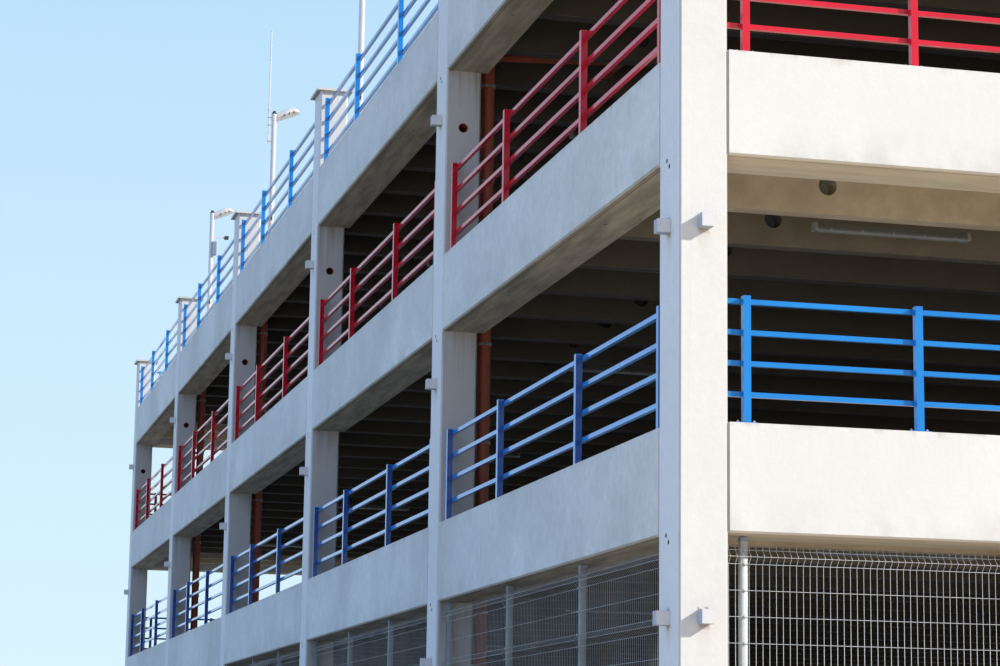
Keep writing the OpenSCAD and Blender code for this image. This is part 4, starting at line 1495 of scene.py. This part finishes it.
# %% Blocks
fixed_blocks = solids_of("column_blocks")
blocks = Shape()
blocks.at_place(0, 0, 0)
for low, high in fixed_blocks:
    storey = sum(low.z > beam_low for beam_low in BEAM_LOW)
    drop = Vector((0.0, 0.0, BLOCK_DROPS[storey]))
    blocks.block(low - drop, high - drop, 1.5 * MM)
make_piece(blocks, "column_block_covers", BLOCK_COVER, "precast_concrete", ("column_blocks",))
print("blocks:", len(fixed_blocks))

# %% [markdown]
# ## Parts of the ceiling lamps
# A damp proof lamp is a trough with a milky cover underneath. Spring clips along both sides press
# the cover on, and moulded caps close the ends. The cover's bulge is an outline with a thickness as
# long as the lamp.

# %% Lamp covers, end caps and clips
COVER_LINE = in_mm((-21, 1), (-20, -2), (-14, -5), (-6, -6.5), (6, -6.5), (14, -5), (20, -2), (21, 1))
CAP_LINE = in_mm((-26, -2), (26, -2), (26, 9.5), (16.5, 35), (-16.5, 35), (-26, 9.5))
CLIPS_PER_SIDE = 5


def add_lamp_parts(covers, caps, clips, low, high):
    half = (high.y - low.y) / 2
    for shape in (covers, caps, clips):
        shape.at_place((low.x + high.x) / 2, (low.y + high.y) / 2, low.z)
    covers.sheet(COVER_LINE, 12 * MM - half, half - 12 * MM)
    for near, far in both_sides(half - 14 * MM, half + MM):
        caps.sheet(CAP_LINE, near, far)
    for near, far in both_sides(22 * MM, 27 * MM):
        for k in range(CLIPS_PER_SIDE):
            d = -half + 2 * half * (k + 0.5) / CLIPS_PER_SIDE
            clips.block((near, d - 5 * MM, -3 * MM), (far, d + 5 * MM, 11 * MM), MM)


covers, caps, clips = Shape(), Shape(), Shape()
for low, high in solids_of("ceiling_lamps"):
    add_lamp_parts(covers, caps, clips, low, high)
make_piece(covers, "lamp_covers", LAMP_LENS, "lamp_housing")
make_piece(caps, "lamp_end_caps", LAMP_CAP, "lamp_housing")
make_piece(clips, "lamp_clips", BOLT_ZINC, "galvanised_wire")

# %% [markdown]
# ## Fittings of the poles and lanterns
# A pole stands on a plate with four nuts and a short stiffening cone. Its fuses are behind a small
# door at hand height. On top, a collar with a clamp block holds the lantern's neck, and a dark cap
# closes the tube. Spring clips hold the lantern's bowl to its hood.

# %% Pole fittings
POLE_COLUMNS = (3, 2, 1)
POLE_R = 23 * MM
POLE_IN = 310 * MM
POLE_NUTS = 40 * MM
POLE_FOOT = SCREED_TOP + 8 * MM
POLE_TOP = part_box("pole_lanterns")[0].z + 72 * MM
DOOR_LOW = SCREED_TOP + 617 * MM
DOOR_H = 83 * MM
FOOT_CONE = in_mm((37, 0), (35, 4), (23, 34))
POLE_COLLAR = in_mm((23, -70), (26, -68), (26, -8), (23, -6))
POLE_CAP = in_mm((24, -5), (24, 4), (17, 9), (16, 16), (11, 24), (3, 27))
DOOR_SCREW = [(3 * MM, POLE_R), (3 * MM, POLE_R + 2.5 * MM)]


def four_corners(reach):
    """Places of four bolts in a square."""
    return [(a, b) for a in (-reach, reach) for b in (-reach, reach)]


def add_pole_fittings(steel, dark, nuts, u):
    for shape in (steel, dark, nuts):
        shape.at(FRONT, u, POLE_IN, 0)
    steel.turned(FOOT_CONE, "z", 32, (0, 0, POLE_FOOT))
    for a, b in four_corners(POLE_NUTS):
        nuts.nut((a, b, POLE_FOOT), 16 * MM, 9 * MM)
    dark.block((POLE_R - 4 * MM, -8 * MM, DOOR_LOW), (POLE_R + MM, 8 * MM, DOOR_LOW + DOOR_H), 1.5 * MM)
    steel.turned(DOOR_SCREW, "u", 6, (0, 0, DOOR_LOW + 10 * MM))
    steel.turned(POLE_COLLAR, "z", 32, (0, 0, POLE_TOP))
    clamp_low = (-17 * MM, POLE_R - 4 * MM, POLE_TOP - 62 * MM)
    steel.block(clamp_low, (17 * MM, POLE_R + 12 * MM, POLE_TOP - 4 * MM), 3 * MM)
    dark.turned(POLE_CAP, "z", 28, (0, 0, POLE_TOP))


steel, dark, nuts = Shape(), Shape(), Shape()
for n in POLE_COLUMNS:
    add_pole_fittings(steel, dark, nuts, COLUMN_X / 2 + n * BAY)
make_piece(steel, "pole_fittings", POLE_STEEL, "pole_steel")
make_piece(dark, "pole_caps_and_doors", DARK_RUBBER_AND_SHADE, "pole_steel")
make_piece(nuts, "pole_base_nuts", BOLT_ZINC, "galvanised_wire")

# %% Clips of the lanterns
CLIP_PLACES = (0.3, 0.5, 0.7)


def add_lantern_clips(clips, low, high):
    """Clips over the seam between hood and bowl."""
    length, width, rise = high.y - low.y, high.x - low.x, high.z - low.z
    for t in CLIP_PLACES:
        w = half_width(t, length, width)
        clips.at_place((low.x + high.x) / 2, low.y + t * length, low.z + side_heights(t, rise)[1])
        for near, far in both_sides(w - 6 * MM, w + 2 * MM):
            clips.block((near, -5 * MM, -9 * MM), (far, 5 * MM, 8 * MM), MM)


clips = Shape()
for low, high in LANTERNS:
    add_lantern_clips(clips, low, high)
make_piece(clips, "lantern_clips", DARK_STEEL, "lamp_housing")

# %% [markdown]
# ## The security camera
# A thin arm on a foot plate, a dark camera under a hood, and a grey switch box on the pole's side.
# These three stand in for the plain blocks of the fixed model and keep to the same boxes. The lens
# is a ring with its glass set back in it, as a flat disc would look painted on.

# %% Camera, arm and switch box
ARM_PLATE = 10 * MM
ARM_SCREW = in_mm((1.5, 4), (1.5, 5.5))
SWITCH_PIN = ((4 * MM, -0.5 * MM), (3.5 * MM, 0.0))


def make_camera_and_arm(low, high):
    arm, head = Shape(), Shape()
    reach = high.y - low.y
    half = (high.x - low.x) / 2
    neck = reach - 45 * MM
    for shape in (arm, head):
        shape.at_place((low.x + high.x) / 2, low.y, (low.z + high.z) / 2)
    arm.block((-ARM_PLATE, 0, -ARM_PLATE), (ARM_PLATE, 4 * MM, ARM_PLATE), MM)
    thick, thin = 8 * MM, 5 * MM
    tube = [(thick, 4 * MM), (thin, 10 * MM), (thin, neck - 6 * MM), (thick, neck - 4 * MM), (thick, neck)]
    arm.turned(tube, "d", 20)
    for a, b in four_corners(7 * MM):
        arm.turned(ARM_SCREW, "d", 6, (a, 0, b))
    wall, roof, corner = half - 2 * MM, half - 5 * MM, half - 6 * MM
    right_half = [(corner, -half), (wall, -corner), (wall, roof)]
    outline = [(-corner, -half)] + right_half + [(-wall, roof), (-wall, -corner)]
    head.sheet(outline, neck, reach - 5 * MM)
    head.block((-half, neck + 3 * MM, roof), (half, reach, half), 1.5 * MM)
    lens = [(r * MM, reach - back * MM) for r, back in ((13, 6), (13, 1), (10, 1), (8, 4.5))]
    head.turned(lens, "d", 28, (0, 0, -2 * MM))
    make_piece(arm, "camera_arm", POLE_STEEL, "pole_steel", ("security_camera",))
    make_piece(head, "camera_head", DARK_RUBBER_AND_SHADE, "pole_steel", ("security_camera",))


def make_switch_box(low, high):
    box = Shape()
    box.at_place(*low)
    width, depth, height = high - low
    split = depth * 0.55
    box.block((0, 0, 0), (width - 3 * MM, depth, height), 2 * MM)
    for start, end in ((3 * MM, split), (split + 1.5 * MM, depth - 3 * MM)):
        box.block((width - 4 * MM, start, 3 * MM), (width, end, height - 3 * MM), MM)
    box.turned([(r, width + out) for r, out in SWITCH_PIN], "u", 16, (0, depth * 0.4, height / 2))
    make_piece(box, "switch_box", BOX_GREY, "pole_steel", ("security_camera",))


camera_solid, box_solid = solids_of("security_camera")
make_camera_and_arm(*camera_solid)
make_switch_box(*box_solid)

# %% [markdown]
# ## Fittings of the aerial
# U shaped bolts hold the mast in its clamps, with two nuts each. Its lengths are screwed together
# at two ferrules, and a small ball ends the tip. All of them are turned forms but the bolts, which
# are bars that follow half a circle.

# %% Aerial fittings
AERIAL_IN = POLE_IN - 48 * MM
AERIAL_CLAMPS = (18 * MM, 168 * MM, 239 * MM)
CLAMP_T = 8 * MM
HOOK_R = 8.5 * MM
HOOK_WIRE_R = 1.8 * MM
HOOK_OUT = 20 * MM
HOOK_NUT = in_mm((3.5, 16), (3.5, 19))
FERRULES = ((300, 9), (640, 7.5))
TIP_BALL = in_mm((5, -12), (8, -8), (8, -4), (4, -0.2))


def make_aerial_fittings():
    low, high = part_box("aerial_mast")
    hooks, rings = Shape(), Shape()
    u = (low.x + high.x) / 2 + HALF_X
    angles = [math.pi * k / 10 for k in range(11)]
    bend = [(HOOK_R * math.cos(a), -HOOK_R * math.sin(a) - 2 * MM, 0) for a in angles]
    for up in AERIAL_CLAMPS:
        hooks.at(FRONT, u, AERIAL_IN, low.z + up + CLAMP_T / 2)
        path = [(HOOK_R, HOOK_OUT, 0)] + bend + [(-HOOK_R, HOOK_OUT, 0)]
        hooks.bar(path, HOOK_WIRE_R, 6, (0.0, 0.0, 1.0))
        for side_u in (-HOOK_R, HOOK_R):
            hooks.turned(HOOK_NUT, "d", 6, (side_u, 0, 0))
    rings.at(FRONT, u, AERIAL_IN, low.z)
    for start, r in FERRULES:
        rings.turned(in_mm((r - 2, start), (r, start + 2), (r, start + 20), (r - 2, start + 22)), "z", 20)
    rings.turned(TIP_BALL, "z", 20, (0, 0, high.z - low.z))
    make_piece(hooks, "aerial_hooks", DARK_STEEL, "pole_steel")
    make_piece(rings, "aerial_rings", POLE_STEEL, "pole_steel")


make_aerial_fittings()

# %% [markdown]
# ## Floor, sky and sun
# The building stands on a plain pale floor. The sun is low and behind it, so that the short side is
# lit and the long front lies in open shade, which is what gives the concrete there its blue tone.
# What the camera and mirror images see of the sky is pale and plain. The light that the sky casts is
# set apart from that: cool over the front, and weaker where the sun already reaches. The floor looks
# pale too, but throws an earthy light up against the beams and little of it up under the decks.


# %% What is seen directly
def seen_directly(tree):
    """1 for what the camera, a mirror image or glass shows, 0 for light that is cast."""
    rays = add(tree, "LightPath").outputs
    direct = either(tree, rays["Is Camera Ray"], rays["Is Glossy Ray"])
    return either(tree, direct, rays["Is Transmission Ray"])


print("one mask for floor and sky")

# %% Floor
FLOOR_HALF = 220.0
FLOOR_STEPS = 4
FLOOR_SEEN = rgb(0.74, 0.75, 0.76)
FLOOR_CAST = rgb(0.36, 0.31, 0.215)
FLOOR_RIGHT_SUN_PAINT = rgb(0.88, 0.72, 0.50)
FLOOR_UNDER_SHADE_PAINT = rgb(0.06, 0.05, 0.04)


def make_floor():
    places = [-FLOOR_HALF + 2 * FLOOR_HALF * k / FLOOR_STEPS for k in range(FLOOR_STEPS + 1)]
    size = len(places)
    starts = [j * size + i for j in range(FLOOR_STEPS) for i in range(FLOOR_STEPS)]
    mesh = bpy.data.meshes.new("floor")
    points = [(x, y, 0) for y in places for x in places]
    mesh.from_pydata(points, [], [(s, s + 1, s + 1 + size, s + size) for s in starts])
    floor = bpy.data.objects.new("floor", mesh)
    scene.collection.objects.link(floor)
    material, tree, shader = new_finish("pale floor")
    # Under the building the floor throws almost no light up, as painted shade, and to the right it throws
    # more and warmer light, as painted sunlight.
    under = spread(tree, from_outer_face(tree), -0.3, 0.3)
    at_right = spread(tree, place_axes(tree)[0], HALF_X - 0.5, HALF_X + 1.0)
    cast = mixed(tree, under, mixed(tree, at_right, FLOOR_CAST, FLOOR_RIGHT_SUN_PAINT), FLOOR_UNDER_SHADE_PAINT)
    set_colour(tree, shader, mixed(tree, seen_directly(tree), cast, FLOOR_SEEN))
    set_even(shader, Roughness=0.9)
    mesh.materials.append(material)


make_floor()
print("floor of", 2 * FLOOR_HALF, "m")

# %% Sky
SKY_LOW = rgb(0.72, 0.92, 1.0)
SKY_HIGH = rgb(0.48, 0.74, 0.98)
COOL_LIGHT = rgb(0.72, 1.25, 2.24)
RIGHT_LIGHT = rgb(0.42, 0.47, 0.70)
PLAIN_LIGHT = rgb(0.32, 0.34, 0.40)


def make_sky():
    world = bpy.data.worlds.new("sky")
    world.use_nodes = True
    tree = world.node_tree
    tree.nodes.clear()
    x, y, z = add(tree, "SeparateXYZ", {"Vector": add(tree, "TexCoord").outputs["Generated"]}).outputs
    seen = mixed(tree, spread(tree, z, 0.03, 0.34), SKY_LOW, SKY_HIGH)
    in_front = spread(tree, y, -0.25, -0.9)
    to_right = spread(tree, x, 0.15, 0.85)
    cast = mixed(tree, in_front, mixed(tree, to_right, PLAIN_LIGHT, RIGHT_LIGHT), COOL_LIGHT)
    light, picture = [add(tree, "Background", {"Color": colour}).outputs[0] for colour in (cast, seen)]
    mix = add(tree, "MixShader", {0: seen_directly(tree), 1: light, 2: picture})
    feed(tree, add(tree, "OutputWorld").inputs["Surface"], mix.outputs[0])
    scene.world = world


make_sky()
print("cool light", tuple(round(v, 2) for v in COOL_LIGHT[:3]))

# %% Sun
SUN_FROM = Vector((1.0, 1.45, 0.92))
SUN_STRENGTH = 4.6
SUN_COLOUR = (1.0, 0.97, 0.92)
SUN_SPREAD = math.radians(2.0)


def make_sun():
    data = bpy.data.lights.new("sun", "SUN")
    data.energy = SUN_STRENGTH
    data.angle = SUN_SPREAD
    data.color = SUN_COLOUR
    sun = bpy.data.objects.new("sun", data)
    sun.rotation_mode = "QUATERNION"
    sun.rotation_quaternion = SUN_FROM.to_track_quat("Z", "Y")
    scene.collection.objects.link(sun)


make_sun()
print("sun strength", SUN_STRENGTH)
